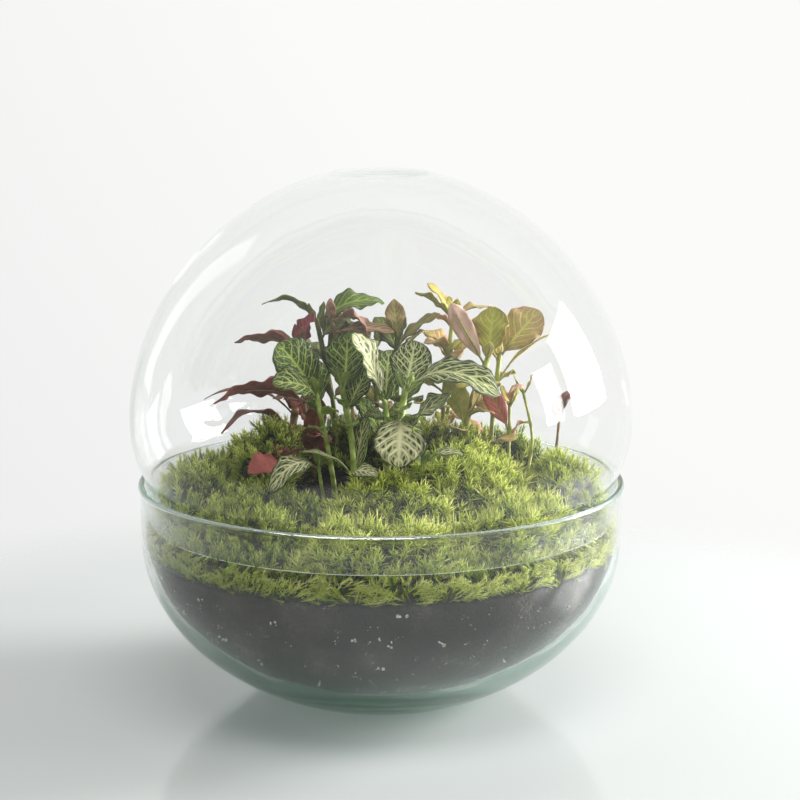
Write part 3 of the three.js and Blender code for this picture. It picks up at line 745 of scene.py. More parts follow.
# Old moss: the brown, matted growth of past years under the green shoots, dull and fibrous. Its very
# dark shades are partly its own colour and partly painted shade in the gaps between the shoots.
moss_underlayer, add, place = new_material("matted_old_moss_and_painted_shade")
mat = add("TexNoise", {"Vector": place, "Scale": 1 / OLD_MOSS_FIBRE, "Detail": 3.0})
old_moss_and_shade_shades = [(0.3, "#15190b"), (0.55, "#2e3414"), (0.75, "#565428")]
shade = add("ValToRGB", {"Fac": mat}, old_moss_and_shade_shades)
rough = add("Bump", {"Height": mat, "Strength": 0.8, "Distance": 0.001})
body = add("BsdfPrincipled", {"Base Color": shade, "Roughness": 0.9, "Normal": rough})
add("OutputMaterial", {"Surface": body})


def sorted_areas(core):
    """The areas of a core's triangles, where shoots stand up and where they are against the glass."""
    places, triangles = core
    a, b, c = (places[triangles[:, k]] for k in range(3))
    facing = np.cross(b - a, c - a)
    areas = np.linalg.norm(facing, axis=1) / 2
    facing /= np.maximum(2 * areas[:, None], 1e-12)
    middles = (a + b + c) / 3
    radii = np.hypot(middles[:, 0], middles[:, 1])
    outward = (facing[:, 0] * middles[:, 0] + facing[:, 1] * middles[:, 1]) / radii
    at_glass = (outward > 0.6) & (radii > WALL_SIDE)
    on_top = (facing[:, 2] > 0.30) & ~at_glass
    on_side = (facing[:, 2] > -0.3) & ~on_top & ~at_glass
    return areas * (on_top + 0.5 * on_side), areas * at_glass


def standing_shoots(draw, core, weights, starry, painted_lighter):
    """Plumes that stand up in clumps, with stars among them where the cushion is a starry one."""
    roots, normals = sampled(draw, core, weights, SHOOTS_PER_AREA)
    count = len(roots)
    clump = noise_at(roots, CLUMP_SIZE)
    fine = noise_at(roots, 0.4 * CLUMP_SIZE)
    radii = np.hypot(roots[:, 0], roots[:, 1])
    # Shoots near the glass lean in from it.
    upward = 0.55 * normals + np.array([0, 0, 0.6])
    leaning = np.clip((radii - LEAN_START) / LEAN_RUN, 0, 1)
    upward[:, :2] -= (INWARD_LEAN * leaning / LEAN_RADIUS)[:, None] * roots[:, :2]
    sizes = (0.9 + 0.5 * clump + 0.3 * fine) * draw.uniform(0.7, 1.25, count)
    # Shoots that stand lower, in the dips between clumps and their smaller bumps, are tinted darker:
    # painted shade. A random share varies the tone.
    tint = 0.6 * clump + 0.45 * fine + draw.uniform(-0.15, 0.35, count)
    # Shoots of the left pieces are tinted lighter, which is painted light.
    tint += PAINTED_LIGHT_TINT * painted_lighter
    stars = (draw.uniform(0, 1, count) < STAR_SHARE) & (radii <= STAR_REACH) & starry
    parts = []
    for form, chosen in (("star", stars), ("plume", ~stars)):
        axes = grow_axes(draw, upward[chosen], sizes[chosen], 0.22)
        parts += moss_part(draw, form, roots[chosen], axes, tint[chosen], 1)
    return parts


def pressed_strands(draw, core, weights):
    """Shoots that the cushion presses flat to the glass, in swirls, the lowest of them brown."""
    roots, normals = sampled(draw, core, weights, STRANDS_PER_AREA)
    count = len(roots)
    turn = np.arctan2(roots[:, 1], roots[:, 0])
    tangent = np.stack([-np.sin(turn), np.cos(turn), np.zeros(count)], axis=1)
    swirl = 3.0 * noise_at(roots, SWIRL_SIZE) + draw.normal(0, 0.45, count)
    along = tangent * np.sin(swirl)[:, None]
    along[:, 2] += np.cos(swirl) * 0.55
    along += 0.12 * normals
    sizes = draw.uniform(0.7, 1.15, count)
    tint = 0.85 + 0.4 * np.sin(2 * swirl) + draw.uniform(-0.35, 0.35, count)
    tint -= np.clip((BROWN_BELOW - roots[:, 2]) / BROWN_RUN, 0, 1) * draw.uniform(0, 1.1, count)
    axes = grow_axes(draw, along, sizes, 0.12)
    return moss_part(draw, "strand", roots, axes, tint, 1)


for number, (name, kind) in enumerate(MOSS_PIECES.items()):
    draw = np.random.default_rng(100 + number)
    core = template(moss_core(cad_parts[name]))
    standing, pressed = sorted_areas(core)
    parts = [(*core, 0, {k: np.zeros(len(core[0])) for k in ("height", "tint")})]
    parts += standing_shoots(draw, core, standing, name in STAR_PIECES, name in LEFT_PIECES_PAINTED_LIGHTER)
    if pressed.any():
        parts += pressed_strands(draw, core, pressed)
    grown = name + "_shoots"
    moss = finish_object(grown, joined_mesh(grown, parts), [moss_underlayer, moss_leaves[kind]])
    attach(moss, "root")
    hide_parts(name)

# Nerve plants. Small soft-stemmed plants, each leafy stem rooted in the soil. Leaves stand on
# short stalks, quilted between a net of veins that is white, pink or red by the kind of plant.
# Each leaf: place on the stem, tip x, y, z, width, arch, roll in degrees, boldness of its veins
# and blush, the share that it has turned from its kind's own colour to the other one.
STEMS = [
    ("white_nerve_stem_1", (-0.016, -0.03), (-0.023, -0.021, 0.19), (0.002, 0), 0.0022, [
        (1, -0.02, -0.007, 0.22, 0.028, -0.003, -6, 0.7, 0),
        (0.86, -0.008, -0.012, 0.199, 0.015, 0.001, 20, 0.9, 0),
        (0.42, -0.009, -0.014, 0.172, 0.012, 0.001, -10, 1.1, 0),
        (0.42, -0.002, -0.054, 0.144, 0.011, 0.007, 35, 1.5, 0),
        (0.46, -0.047, -0.042, 0.156, 0.007, 0.005, -10, 1.2, 0),
    ]),
    ("white_nerve_stem_2", (-0.028, -0.02), (-0.038, -0.029, 0.188), (0.001, -0.002), 0.0018, [
        (1, -0.06, -0.03, 0.218, 0.03, 0.002, -50, 0.7, 0),
        (0.97, -0.062, -0.052, 0.198, 0.022, 0.006, -40, 0.9, 0),
        (0.9, -0.046, -0.002, 0.208, 0.02, 0.002, 10, 0.7, 0),
    ]),
    ("white_nerve_stem_3", (0.008, -0.034), (0.014, -0.026, 0.19), (-0.001, 0), 0.0023, [
        (0.86, 0.01, -0.052, 0.149, 0.031, 0.004, 0, 2.2, 0),
        (0.64, 0.04, -0.046, 0.19, 0.02, 0.004, 30, 1.2, 0),
        (1, 0.02, -0.008, 0.216, 0.025, -0.002, 5, 1.1, 0),
        (1, 0.068, -0.048, 0.19, 0.025, 0.015, 25, 1.1, 0),
        (0.9, 0.031, -0.006, 0.2, 0.017, 0.004, 0, 0.9, 0),
    ]),
    ("white_nerve_stem_4", (0.001, -0.013), (0.002, -0.018, 0.181), (0.003, 0), 0.0019, [
        (1, -0.017, -0.03, 0.223, 0.028, 0.002, -48, 1.6, 0),
        (0.95, 0.005, 0.012, 0.207, 0.022, 0.004, 0, 0.9, 0),
        (0.6, -0.013, 0.005, 0.176, 0.015, 0.003, 0, 0.8, 0),
    ]),
    ("white_nerve_stem_5", (-0.034, -0.033), (-0.037, -0.03, 0.144), (0, 0), 0.0014, [
        (1, -0.064, -0.049, 0.134, 0.017, 0.012, -25, 1.4, 0),
    ]),
    ("white_nerve_stem_6", (0.025, -0.04), (0.023, -0.042, 0.147), (0, 0), 0.0014, [
        (1, 0.047, -0.05, 0.156, 0.011, 0.005, 10, 1.3, 0),
    ]),
    ("red_nerve_stem_1", (-0.052, 0.034), (-0.053, 0.03, 0.168), (-0.003, 0), 0.003, [
        (0.95, -0.109, 0.027, 0.174, 0.006, 0.012, 0, 0.6, 0.6),
        (0.74, -0.096, -0.004, 0.159, 0.013, 0.015, 10, 0.6, 0.45),
    ]),
    ("red_nerve_stem_2", (-0.042, 0.036), (-0.05, 0.02, 0.21), (0.004, -0.005), 0.0018, [
        (1, -0.088, 0.004, 0.213, 0.015, 0.004, 30, 0.8, 0.35),
        (0.98, -0.042, 0.03, 0.228, 0.018, 0.001, -20, 0.8, 0),
        (0.92, -0.067, 0.03, 0.217, 0.012, 0.003, 0, 0.8, 0.8),
        (0.72, -0.1, -0.008, 0.178, 0.023, 0.009, 32, 1.0, 0),
        (0.5, -0.037, 0.006, 0.179, 0.013, 0.004, 0, 0.8, 0.3),
        (0.42, -0.04, -0.004, 0.157, 0.016, 0.005, 0, 1.0, 0),
    ]),
    ("red_nerve_stem_3", (-0.058, 0), (-0.06, -0.003, 0.141), (0, 0), 0.0016, [
        (1, -0.079, -0.024, 0.139, 0.017, 0.004, -35, 0.3, 1.5),
        (0.9, -0.046, -0.01, 0.151, 0.011, 0.003, 0, 0.8, 0.3),
    ]),
    ("green_nerve_stem_1", (-0.026, 0.054), (-0.04, 0.042, 0.221), (0.002, 0.003), 0.0018, [
        (1, -0.073, 0.033, 0.232, 0.011, 0.009, 20, 0.9, 0),
        (1, 0.002, 0.06, 0.229, 0.019, 0.008, 25, 0.9, 0),
        (0.93, -0.019, 0.052, 0.221, 0.02, 0.004, 20, 0.9, 0.3),
        (0.85, -0.006, 0.048, 0.215, 0.022, 0.005, 40, 0.9, 0.2),
        (0.8, -0.028, 0.05, 0.203, 0.017, 0.004, 20, 0.9, 0.5),
    ]),
    ("pink_nerve_stem", (-0.014, 0.03), (-0.031, 0.033, 0.224), (0.003, 0), 0.0014, [
        (1, -0.008, 0.02, 0.214, 0.017, 0.008, -25, 1.0, 0),
        (0.95, 0.008, 0.024, 0.216, 0.014, 0.003, 20, 0.9, 0.9),
    ]),
    ("green_nerve_stem_2", (0.014, 0.036), (0.01, 0.03, 0.213), (-0.002, 0), 0.0018, [
        (1, 0.008, 0.036, 0.235, 0.014, -0.001, 0, 0.9, 1),
        (0.97, 0.036, 0.027, 0.227, 0.013, 0.002, 20, 0.9, 0.6),
        (0.92, -0.004, 0.046, 0.222, 0.019, 0.003, 0, 0.9, 0.2),
        (0.85, 0.026, 0.02, 0.218, 0.017, 0.003, 20, 1.0, 0.5),
        (0.8, -0.006, 0.014, 0.206, 0.015, 0.003, 0, 0.9, 0.3),
    ]),
    ("olive_nerve_stem_1", (0.052, 0.04), (0.066, 0.036, 0.198), (-0.006, 0), 0.0022, [
        (0.97, 0.042, 0.02, 0.234, 0.013, 0.002, 62, 0.8, 1.0),
        (1, 0.07, 0.044, 0.229, 0.025, -0.001, -5, 0.9, 0),
        (0.62, 0.042, 0.026, 0.188, 0.016, 0.001, 25, 0.9, 0.15),
        (0.62, 0.067, 0.04, 0.185, 0.016, 0.001, -25, 0.9, 0.3),
    ]),
    ("olive_nerve_stem_2", (0.038, 0.052), (0.045, 0.05, 0.223), (-0.002, 0.002), 0.0017, [
        (1, 0.021, 0.044, 0.238, 0.015, 0.002, 10, 0.9, 0.1),
        (1, 0.029, 0.058, 0.242, 0.011, 0.002, 0, 0.9, 0.3),
        (0.96, 0.029, 0.046, 0.223, 0.01, 0.003, 20, 0.9, 1.3),
        (0.85, 0.029, 0.034, 0.207, 0.015, 0.004, 10, 0.9, 0.8),
        (1, 0.07, 0.062, 0.225, 0.014, 0.004, 0, 0.9, 0.6),
        (0.72, 0.055, 0.044, 0.205, 0.014, 0.003, 0, 0.9, 0.7),
    ]),
    ("olive_nerve_stem_3", (0.068, 0.047), (0.074, 0.045, 0.199), (-0.001, 0.002), 0.0018, [
        (1, 0.099, 0.05, 0.226, 0.025, 0.002, 55, 0.9, 0.6),
        (0.85, 0.107, 0.06, 0.209, 0.004, 0.005, 0, 0.5, 0.1),
        (0.95, 0.066, 0.068, 0.214, 0.016, 0.004, 0, 0.9, 0.4),
        (0.5, 0.044, 0.066, 0.159, 0.012, 0.004, 0, 0.9, 1.0),
    ]),
    ("olive_nerve_stem_4", (0.08, 0.04), (0.08, 0.042, 0.168), (0, 0), 0.0013, [
        (1, 0.086, 0.036, 0.182, 0.012, 0.001, 0, 0.9, 0.9),
        (0.8, 0.064, 0.022, 0.184, 0.012, 0, 220, 0.3, 1.9),
    ]),
    ("olive_nerve_stem_5", (0.091, 0.046), (0.089, 0.05, 0.175), (0.005, 0), 0.0011, [
        (0.8, 0.084, 0.044, 0.147, 0.013, 0.004, 30, 0.8, 1.2),
        (1, 0.085, 0.056, 0.178, 0.006, 0.001, 0, 0.8, 0.5),
    ]),
    ("red_nerve_stem_4", (0.104, 0.036), (0.112, 0.038, 0.165), (0.001, 0), 0.0011, [
        (1, 0.115, 0.032, 0.178, 0.011, 0.001, 0, 1.2, -0.3),
        (0.9, 0.11, 0.052, 0.169, 0.008, 0.002, 0, 0.8, 0.4),
    ]),
    ("green_nerve_stem_3", (-0.002, 0.076), (-0.004, 0.082, 0.198), (0, 0.003), 0.0018, [
        (1, 0.016, 0.092, 0.214, 0.02, 0.004, 0, 0.9, 0.4),
        (1, -0.028, 0.088, 0.21, 0.02, 0.004, 0, 0.9, 0.2),
        (0.75, 0.004, 0.112, 0.178, 0.018, 0.007, 0, 0.9, 0),
        (0.55, -0.026, 0.098, 0.164, 0.016, 0.005, 0, 0.9, 0),
        (0.5, 0.02, 0.09, 0.164, 0.015, 0.004, 0, 0.9, 0.3),
    ]),
    ("olive_nerve_stem_6", (0.04, 0.078), (0.046, 0.084, 0.187), (0, 0.002), 0.0017, [
        (1, 0.068, 0.092, 0.202, 0.019, 0.005, 0, 0.9, 0.4),
        (1, 0.028, 0.098, 0.206, 0.018, 0.004, 0, 0.9, 0.6),
        (0.7, 0.052, 0.11, 0.17, 0.016, 0.006, 0, 0.9, 0.8),
    ]),
    ("red_nerve_stem_5", (-0.046, 0.072), (-0.051, 0.078, 0.182), (0, 0.002), 0.0017, [
        (1, -0.067, 0.076, 0.195, 0.016, 0.005, 0, 0.8, 0.5),
        (1, -0.044, 0.1, 0.198, 0.018, 0.005, 0, 0.8, 0.4),
        (0.65, -0.063, 0.098, 0.161, 0.016, 0.006, 0, 0.8, 0.2),
        (0.5, -0.069, 0.062, 0.154, 0.014, 0.005, 0, 0.8, 0),
    ]),
]
# Pairs of small leaves lower on the taller stems, by kind: places on the stem, length, width.
SMALL_LEAVES = {
    "white": ((0.74, 0.86), 0.016, 0.010),
    "red": ((0.55, 0.80), 0.019, 0.012),
    "green": ((0.50, 0.66, 0.82), 0.023, 0.015),
    "olive": ((0.52, 0.68, 0.84), 0.021, 0.013),
    "pink": ((0.60, 0.80), 0.018, 0.011),
}
SLIM_STEM = 0.00165
YOUNG_LEAF = (0.011, 0.006)
STEM_DEPTH = 0.007
STEM_UPRIGHT = 0.004
TOP_LEAF_PLACE = 0.985
STEM_SIDES = 10
STEM_STEPS = 22
STEM_TAPER = 0.28
KNOT = 0.22
KNOT_REACH = 1.5
STALK_SIDES = 6
STALK_STEPS = 9
STALK = 0.0009
STALK_SHARE = 0.12
RIB_REACH = 0.82
RIB_TAPER = 0.82
BLADE = 0.0005
BLADE_ROW = 0.0012
BLADE_COLUMN = 0.0035
FOLD = 0.22
WAVE = 0.0017
WAVES_A_BLADE = 2.2
WAVE_PHASES = (0.37, 0.21)
RUFFLE = 0.0011
RUFFLES_A_BLADE = 5.3
FULL_WIDTH = 0.020
QUILT = 0.0007
LEAF_GLOSS = 0.45
ROSE = "#e4717a"
VEIN_WANDER = 0.006
LEAF_BLOTCH = 0.009
VEINS_A_SIDE = 6
VEIN_SWEEP = (0.30, 0.12)
# How fast a blade widens from its base and narrows to its tip.
OUTLINE = {
    "white": (0.8, 0.6), "red": (0.8, 0.9), "green": (0.7, 0.8), "olive": (0.95, 0.65),
    "pink": (0.7, 0.7),
}


def curve_point(points, share):
    """A point of the smooth curve through the given points, at a share of its run."""
    run = share * (len(points) - 1)
    first = min(floor(run), len(points) - 2)
    rest = run - first
    before = points[first - 1] if first else 2 * points[0] - points[1]
    start, end = points[first], points[first + 1]
    after = points[first + 2] if first + 2 < len(points) else 2 * points[-1] - points[-2]
    gaps = [sqrt((q - p).length) or 1 for p, q in ((before, start), (start, end), (end, after))]
    a, b, c = gaps
    leave = ((start - before) / a - (end - before) / (a + b) + (end - start) / b) * b
    arrive = ((end - start) / b - (after - start) / (b + c) + (after - end) / c) * b
    square = 3 * (end - start) - 2 * leave - arrive
    cube = 2 * (start - end) + leave + arrive
    return start + leave * rest + square * rest ** 2 + cube * rest ** 3


def grow_tube(shape, line, girths, sides, number):
    """A closed tube: a round cap, carried on from point to point of a line."""
    ring = bmesh.ops.create_circle(shape, cap_ends=True, segments=sides, radius=1.0)["verts"]
    cap = ring[0].link_faces[0]
    faces = {cap}
    heading = Vector((0, 0, 1))
    at, girth = Vector(), 1.0
    for i, (point, wanted) in enumerate(zip(line, girths)):
        towards = (line[min(i + 1, len(line) - 1)] - line[max(i - 1, 0)]).normalized()
        if i:
            grown = bmesh.ops.extrude_face_region(shape, geom=[cap])["geom"]
            ring = [part for part in grown if isinstance(part, bmesh.types.BMVert)]
            cap = next(part for part in grown if isinstance(part, bmesh.types.BMFace))
        turn = heading.rotation_difference(towards).to_matrix().to_4x4()
        move = Matrix.Translation(point) @ turn @ Matrix.Scale(wanted / girth, 4)
        bmesh.ops.transform(shape, verts=ring, matrix=move @ Matrix.Translation(-at))
        heading, at, girth = towards, point.copy(), wanted
        faces |= {face for corner in ring for face in corner.link_faces}
    faces = [face for face in faces if face.is_valid]
    for face in faces:
        face.material_index = number
        face.smooth = True
    bmesh.ops.recalc_face_normals(shape, faces=faces)


def leaf_surface(base, leaf, kind, phase):
    """A function that gives a leaf's point at (share of length, side from -1 to 1, lift)."""
    x, y, z, width, arch, roll = leaf[1:7]
    swell, taper = OUTLINE[kind]
    widest = swell / (swell + taper)
    chord = Vector((x, y, z)) - base
    along = chord.normalized()
    up = (Vector((0, 0, 1)) - along * along.z).normalized()
    face = up * cos(radians(roll)) + along.cross(up) * sin(radians(roll))
    side = along.cross(face)

    def point(u, v, lift):
        s = min(max((u - STALK_SHARE) / (1 - STALK_SHARE), 0), 1)
        share = (s / widest) ** swell * ((1 - s) / (1 - widest)) ** taper
        half = max(STALK * (0.8 if u < 0.9 else 0.3), width / 2 * share)
        heading = (chord + face * (4 * arch * (1 - 2 * u))).normalized()
        normal = side.cross(heading)
        out = abs(v)
        calm = min(1, width / FULL_WIDTH)
        share *= calm
        wave = WAVE * sin(2 * pi * (WAVES_A_BLADE * u + phase) + v) * share
        turn = 2 * pi * (RUFFLES_A_BLADE * u + 2 * phase)
        ruffle = RUFFLE * out ** 4 * sin(turn + 2 * v) * share * calm ** 2
        between = vein_place(s, out) % 1
        quilt = QUILT * sin(pi * between) ** 0.7 * min(1, 4 * out) * (1 - out ** 3) * share
        middle = base + chord * u + face * (4 * arch * u * (1 - u))
        rise = out * (FOLD * half * share + wave) + ruffle + quilt
        return middle + side * (v * half) + normal * (rise + lift)

    return point


def vein_place(s, out):
    """Counts side veins up the blade: whole numbers lie on a vein, which sweeps to the tip."""
    return VEINS_A_SIDE * (s - VEIN_SWEEP[0] * out - VEIN_SWEEP[1] * out ** 2)


def grow_leaf(shape, base, leaf, kind, phase):
    """A leaf: a grid bent to its surface, drawn out to its thickness, on a round stalk."""
    surface = leaf_surface(base, leaf, kind, phase)
    width, bold, blush = leaf[4], leaf[7], leaf[8]
    length = (Vector(leaf[1:4]) - base).length
    grid = bmesh.ops.create_grid(
        shape, size=0.5, calc_uvs=True,
        x_segments=round(min(max(length / BLADE_ROW, 14), 30)),
        y_segments=2 * round(min(max(width / BLADE_COLUMN, 3), 7)),
    )["verts"]
    under = list({face for corner in grid for face in corner.link_faces})
    grown = bmesh.ops.extrude_face_region(shape, geom=under)["geom"]
    upper = [part for part in grown if isinstance(part, bmesh.types.BMVert)]
    boldness, blushing = (shape.verts.layers.float[name] for name in ("boldness", "blush"))
    for corners, lift in ((grid, -BLADE / 2), (upper, BLADE / 2)):
        for corner in corners:
            u = STALK_SHARE + (1 - STALK_SHARE) * (corner.co.x + 0.5)
            corner.co = surface(u, -2 * corner.co.y, lift)
            corner[boldness] = bold
            corner[blushing] = blush
    sides = {face for corner in grid + upper for face in corner.link_faces}
    for face in sides:
        face.smooth = True
        face.material_index = 1
    for part in grown:
        if isinstance(part, bmesh.types.BMFace):
            part.material_index = 0
    shares = [RIB_REACH * i / (STALK_STEPS - 1) for i in range(STALK_STEPS)]
    girths = [STALK * (1 - RIB_TAPER * share) * min(1, 0.5 + width / 0.03) for share in shares]
    line = [surface(share, 0, -0.7 * girth) for share, girth in zip(shares, girths)]
    grow_tube(shape, line, girths, STALK_SIDES, 2)


def leaf_pair(draw, share, joint, length, width):
    """Two small leaves that stand opposite each other at a joint of the stem, as table rows."""
    turn = draw.uniform(0, pi)
    rows = []
    for side in (0, pi):
        reach = length * draw.uniform(0.75, 1.2)
        rise = draw.uniform(-0.1, 0.75)
        out = Vector((cos(turn + side), sin(turn + side), rise)).normalized() * reach
        size = width * draw.uniform(0.8, 1.2)
        bold, blush = draw.uniform(0.6, 1.0), draw.uniform(0, 0.9)
        rows.append((share, *(joint + out), size, 0.14 * reach, draw.uniform(-25, 25), bold, blush))
    return rows


def young_pair(draw, top, length, width):
    """The youngest pair of leaves, which stands upright at the stem's tip, as table rows."""
    turn = draw.uniform(0, pi)
    rows = []
    for side in (0, pi):
        out = Vector((0.55 * cos(turn + side), 0.55 * sin(turn + side), 1)) * length
        rows.append((1, *(top + out), width, -0.0008, 0, 0.7, 0.2))
    return rows


def blushed_skin(add, skin, blushed, patches):
    """A leaf's colour, turned in patches by its blush to another one, and past that to rose."""
    blush = add("Attribute", attribute_name="blush").outputs["Fac"]
    patchy = add("Math", {0: patches, 1: 1.2, 2: 0.4}, operation="MULTIPLY_ADD")
    share = add("Math", {0: blush, 1: patchy}, operation="MULTIPLY", use_clamp=True)
    skin = add("Mix", {0: share, 6: skin, 7: linear(blushed)}, data_type="RGBA")
    rosy = add("MapRange", {"Value": blush, "From Min": 1.2, "From Max": 1.8})
    return add("Mix", {0: rosy, 6: skin.outputs[2], 7: linear(ROSE)}, data_type="RGBA")


def leaf_blade_material(name, blade, margin, blushed, veins, net):
    """A living leaf's upper face: satin, darker at its edge, with a net of sunken pale veins."""
    material, add, place = new_material(name)
    uv = add("UVMap", uv_map="leaf")
    split = add("SeparateXYZ", {0: uv}).outputs
    bold = add("Attribute", attribute_name="boldness").outputs["Fac"]
    centred = add("Math", {0: split["Y"], 1: 2.0, 2: -1.0}, operation="MULTIPLY_ADD")
    out = add("Math", {0: centred}, operation="ABSOLUTE")
    wander = add("TexNoise", {"Vector": place, "Scale": 1 / VEIN_WANDER, "Detail": 1.0})
    stray = add("Math", {0: wander, 1: 0.55, 2: -0.27}, operation="MULTIPLY_ADD")
    # Side veins sweep from the midrib to the tip, as in vein_place above.
    bend = add(
        "Math", {0: out, 1: -VEIN_SWEEP[1] * VEINS_A_SIDE, 2: -VEIN_SWEEP[0] * VEINS_A_SIDE},
        operation="MULTIPLY_ADD",
    )
    swept = add("Math", {0: bend, 1: out, 2: stray}, operation="MULTIPLY_ADD")
    count = add("Math", {0: split["X"], 1: float(VEINS_A_SIDE), 2: swept}, operation="MULTIPLY_ADD")
    pingpong = add("Math", {0: count, 1: 0.5}, operation="PINGPONG")
    width = add("Math", {0: out, 1: -0.09, 2: 0.20}, operation="MULTIPLY_ADD")
    width = add("Math", {0: width, 1: bold}, operation="MULTIPLY")
    side_veins = add(
        "MapRange", {"Value": pingpong, "From Min": width, "From Max": 0.02, "To Max": 1.0},
        interpolation_type="SMOOTHSTEP",
    )
    rib_width = add("Math", {0: split["X"], 1: -0.14, 2: 0.20}, operation="MULTIPLY_ADD")
    rib_width = add("Math", {0: rib_width, 1: bold}, operation="MULTIPLY")
    midrib = add(
        "MapRange", {"Value": out, "From Min": rib_width, "From Max": 0.0},
        interpolation_type="SMOOTHSTEP",
    )
    # The fine net fills the space between the side veins with small cells.
    across = add("Math", {0: centred, 1: 4.5}, operation="MULTIPLY")
    along = add("Math", {0: count, 1: 1.6}, operation="MULTIPLY")
    cells = add("CombineXYZ", {0: along, 1: across})
    mesh_of_veins = add(
        "TexVoronoi", {"Vector": cells, "Scale": 1.0},
        feature="DISTANCE_TO_EDGE", voronoi_dimensions="2D",
    )
    net_width = add("Math", {0: bold, 1: 0.15}, operation="MULTIPLY")
    fine_veins = add(
        "MapRange",
        {"Value": mesh_of_veins, "From Min": net_width, "From Max": 0.0, "To Max": net},
        interpolation_type="SMOOTHSTEP",
    )
    strong = add("Math", {0: side_veins, 1: midrib}, operation="MAXIMUM")
    every = add("Math", {0: strong, 1: fine_veins}, operation="MAXIMUM")
    edge = add(
        "MapRange", {"Value": out, "From Min": 1.0, "From Max": 0.78},
        interpolation_type="SMOOTHSTEP",
    )
    shown = add("Math", {0: every, 1: edge}, operation="MULTIPLY")
    # Between the veins the blade is mottled, and darker towards its margin.
    blotches = add("TexNoise", {"Vector": place, "Scale": 1 / LEAF_BLOTCH, "Detail": 2.0})
    darkened = add("Math", {0: blotches, 1: 0.5, 2: -0.25}, operation="MULTIPLY_ADD")
    rimward = add("Math", {0: out, 1: 0.9, 2: darkened}, operation="MULTIPLY_ADD", use_clamp=True)
    skin = add("Mix", {0: rimward, 6: linear(blade), 7: linear(margin)}, data_type="RGBA")
    skin = blushed_skin(add, skin.outputs[2], blushed, blotches)
    white_share = add("MapRange", {"Value": bold, "From Min": 0.7, "From Max": 1.3})
    vein = add("Mix", {0: white_share, 6: linear(veins[0]), 7: linear(veins[1])}, data_type="RGBA")
    colour = add("Mix", {0: shown, 6: skin.outputs[2], 7: vein.outputs[2]}, data_type="RGBA")
    sunken = add("Math", {0: 1.0, 1: every}, operation="SUBTRACT")
    relief = add("Bump", {"Height": sunken, "Strength": 0.5, "Distance": 0.0005})
    body = add(
        "BsdfPrincipled",
        {
            "Base Color": colour.outputs[2], "Roughness": LEAF_GLOSS, "Specular IOR Level": 0.22,
            "Normal": relief,
        },
    )
    add("OutputMaterial", {"Surface": body})
    return material


def plain_plant_material(name, shades, blushed, roughness, grain):
    """A leaf's pale underside or a soft stem: satin skin that varies from place to place."""
    material, add, place = new_material(name)
    mottle = add("TexNoise", {"Vector": place, "Scale": 1 / grain, "Detail": 3.0})
    shade = add("ValToRGB", {"Fac": mottle}, shades)
    shade = blushed_skin(add, shade, blushed, mottle)
    skin = add("Bump", {"Height": mottle, "Strength": 0.3, "Distance": 0.0004})
    body = add(
        "BsdfPrincipled", {"Base Color": shade.outputs[2], "Roughness": roughness, "Normal": skin},
    )
    add("OutputMaterial", {"Surface": body})
    return material


def grow_stem(shape, route, girth, leaves):
    """A stem that thins upwards, with a knot where each of its leaves stands."""
    shares = [i / STEM_STEPS for i in range(STEM_STEPS + 1)]
    joints = [leaf[0] * TOP_LEAF_PLACE for leaf in leaves]
    girths = []
    for share in shares:
        knot = max(max(0, 1 - abs(share - joint) * STEM_STEPS / KNOT_REACH) for joint in joints)
        girths.append(girth * (1.0 - STEM_TAPER * share + KNOT * knot))
    line = [curve_point(route, share) for share in shares]
    tip = (line[-1] - line[-2]).normalized() * girths[-1]
    grow_tube(shape, line + [route[-1] + tip], girths + [0.3 * girths[-1]], STEM_SIDES, 2)


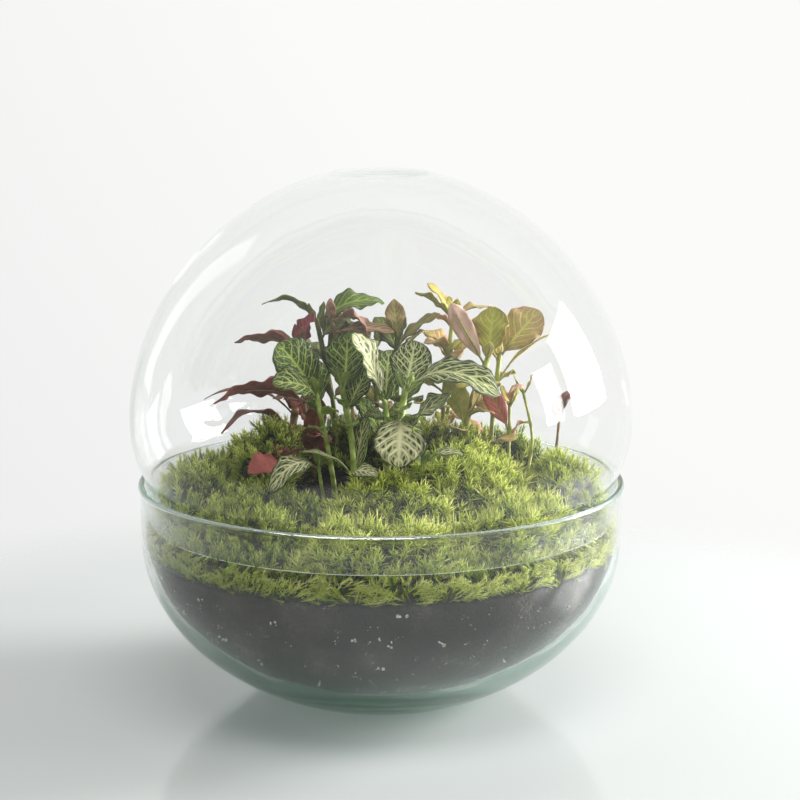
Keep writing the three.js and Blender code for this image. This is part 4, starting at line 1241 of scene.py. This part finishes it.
# The kinds of nerve plant: upper face (blade, margin, blushed, fainter and bolder veins, strength
# of the vein net), underside and stem shades, and the underside's where the leaf has blushed.
KINDS = {
    "white": (
        ("#3f5412", "#1f3008", "#5f7a24", ("#b6ca5c", "#fffcc4"), 0.7),
        ("#748e34", "#98ae50"), ("#8fa83c", "#c6d878"), "#a0ab62",
    ),
    "red": (
        ("#8e343a", "#562224", "#7a6034", ("#ae5050", "#d8666c"), 0.25),
        ("#86473e", "#a86052"), ("#6e5a30", "#98754a"), "#84704a",
    ),
    "green": (
        ("#526c22", "#3f501a", "#a07c56", ("#98ae4a", "#bccc6a"), 0.35),
        ("#687c32", "#8e9e48"), ("#76843a", "#a2a656"), "#a8845e",
    ),
    "pink": (
        ("#cb947e", "#a06a5c", "#86703e", ("#e2b8a2", "#eccab6"), 0.4),
        ("#b88470", "#d8a894"), ("#857045", "#a8905c"), "#9a8552",
    ),
    "olive": (
        ("#ccd23e", "#b49a46", "#d29484", ("#e4ea70", "#ece490"), 0.35),
        ("#a4a838", "#c6c650"), ("#8e9a3a", "#bcc060"), "#f6c8b6",
    ),
}
plant_materials = {}
for kind, (upper_face, under, stem, under_blushed) in KINDS.items():
    plant_materials[kind] = [
        leaf_blade_material(f"{kind}_nerve_leaf", *upper_face),
        plain_plant_material(
            f"{kind}_leaf_underside", list(zip((0.35, 0.65), under)), under_blushed, 0.6, 0.004,
        ),
        plain_plant_material(
            f"{kind}_soft_stem", list(zip((0.35, 0.65), stem)), stem[1], 0.45, 0.006,
        ),
    ]

for number, (name, foot, top, bow, girth, leaves) in enumerate(STEMS):
    kind = name.split("_")[0]
    # The stem's route: rooted in the soil, straight out of it, then bowed to its top.
    ground = soil_top(*foot)
    low = Vector((*foot, ground - STEM_DEPTH))
    straight = Vector((*foot, ground + STEM_UPRIGHT))
    high = Vector(top)
    middle = straight.lerp(high, 0.5) + Vector((*bow, 0))
    route = [low, straight, middle, high]
    plant = bmesh.new()
    plant.loops.layers.uv.new("leaf")
    plant.verts.layers.float.new("boldness")
    plant.verts.layers.float.new("blush")
    grow_stem(plant, route, girth, leaves)
    draw = np.random.default_rng(300 + number)
    leaves = leaves + young_pair(draw, high, *YOUNG_LEAF)
    if girth > SLIM_STEM and len(leaves) > 4:
        joints, *size = SMALL_LEAVES[kind]
        for joint in joints:
            leaves += leaf_pair(draw, joint, curve_point(route, joint), *size)
    for i, leaf in enumerate(leaves):
        base = curve_point(route, leaf[0] * TOP_LEAF_PLACE)
        grow_leaf(plant, base, leaf, kind, WAVE_PHASES[0] * i + WAVE_PHASES[1] * number)
    mesh = bpy.data.meshes.new(name + "_grown")
    plant.to_mesh(mesh)
    plant.free()
    grown = finish_object(name + "_grown", mesh, plant_materials[kind])
    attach(grown, "root")
    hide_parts(name)
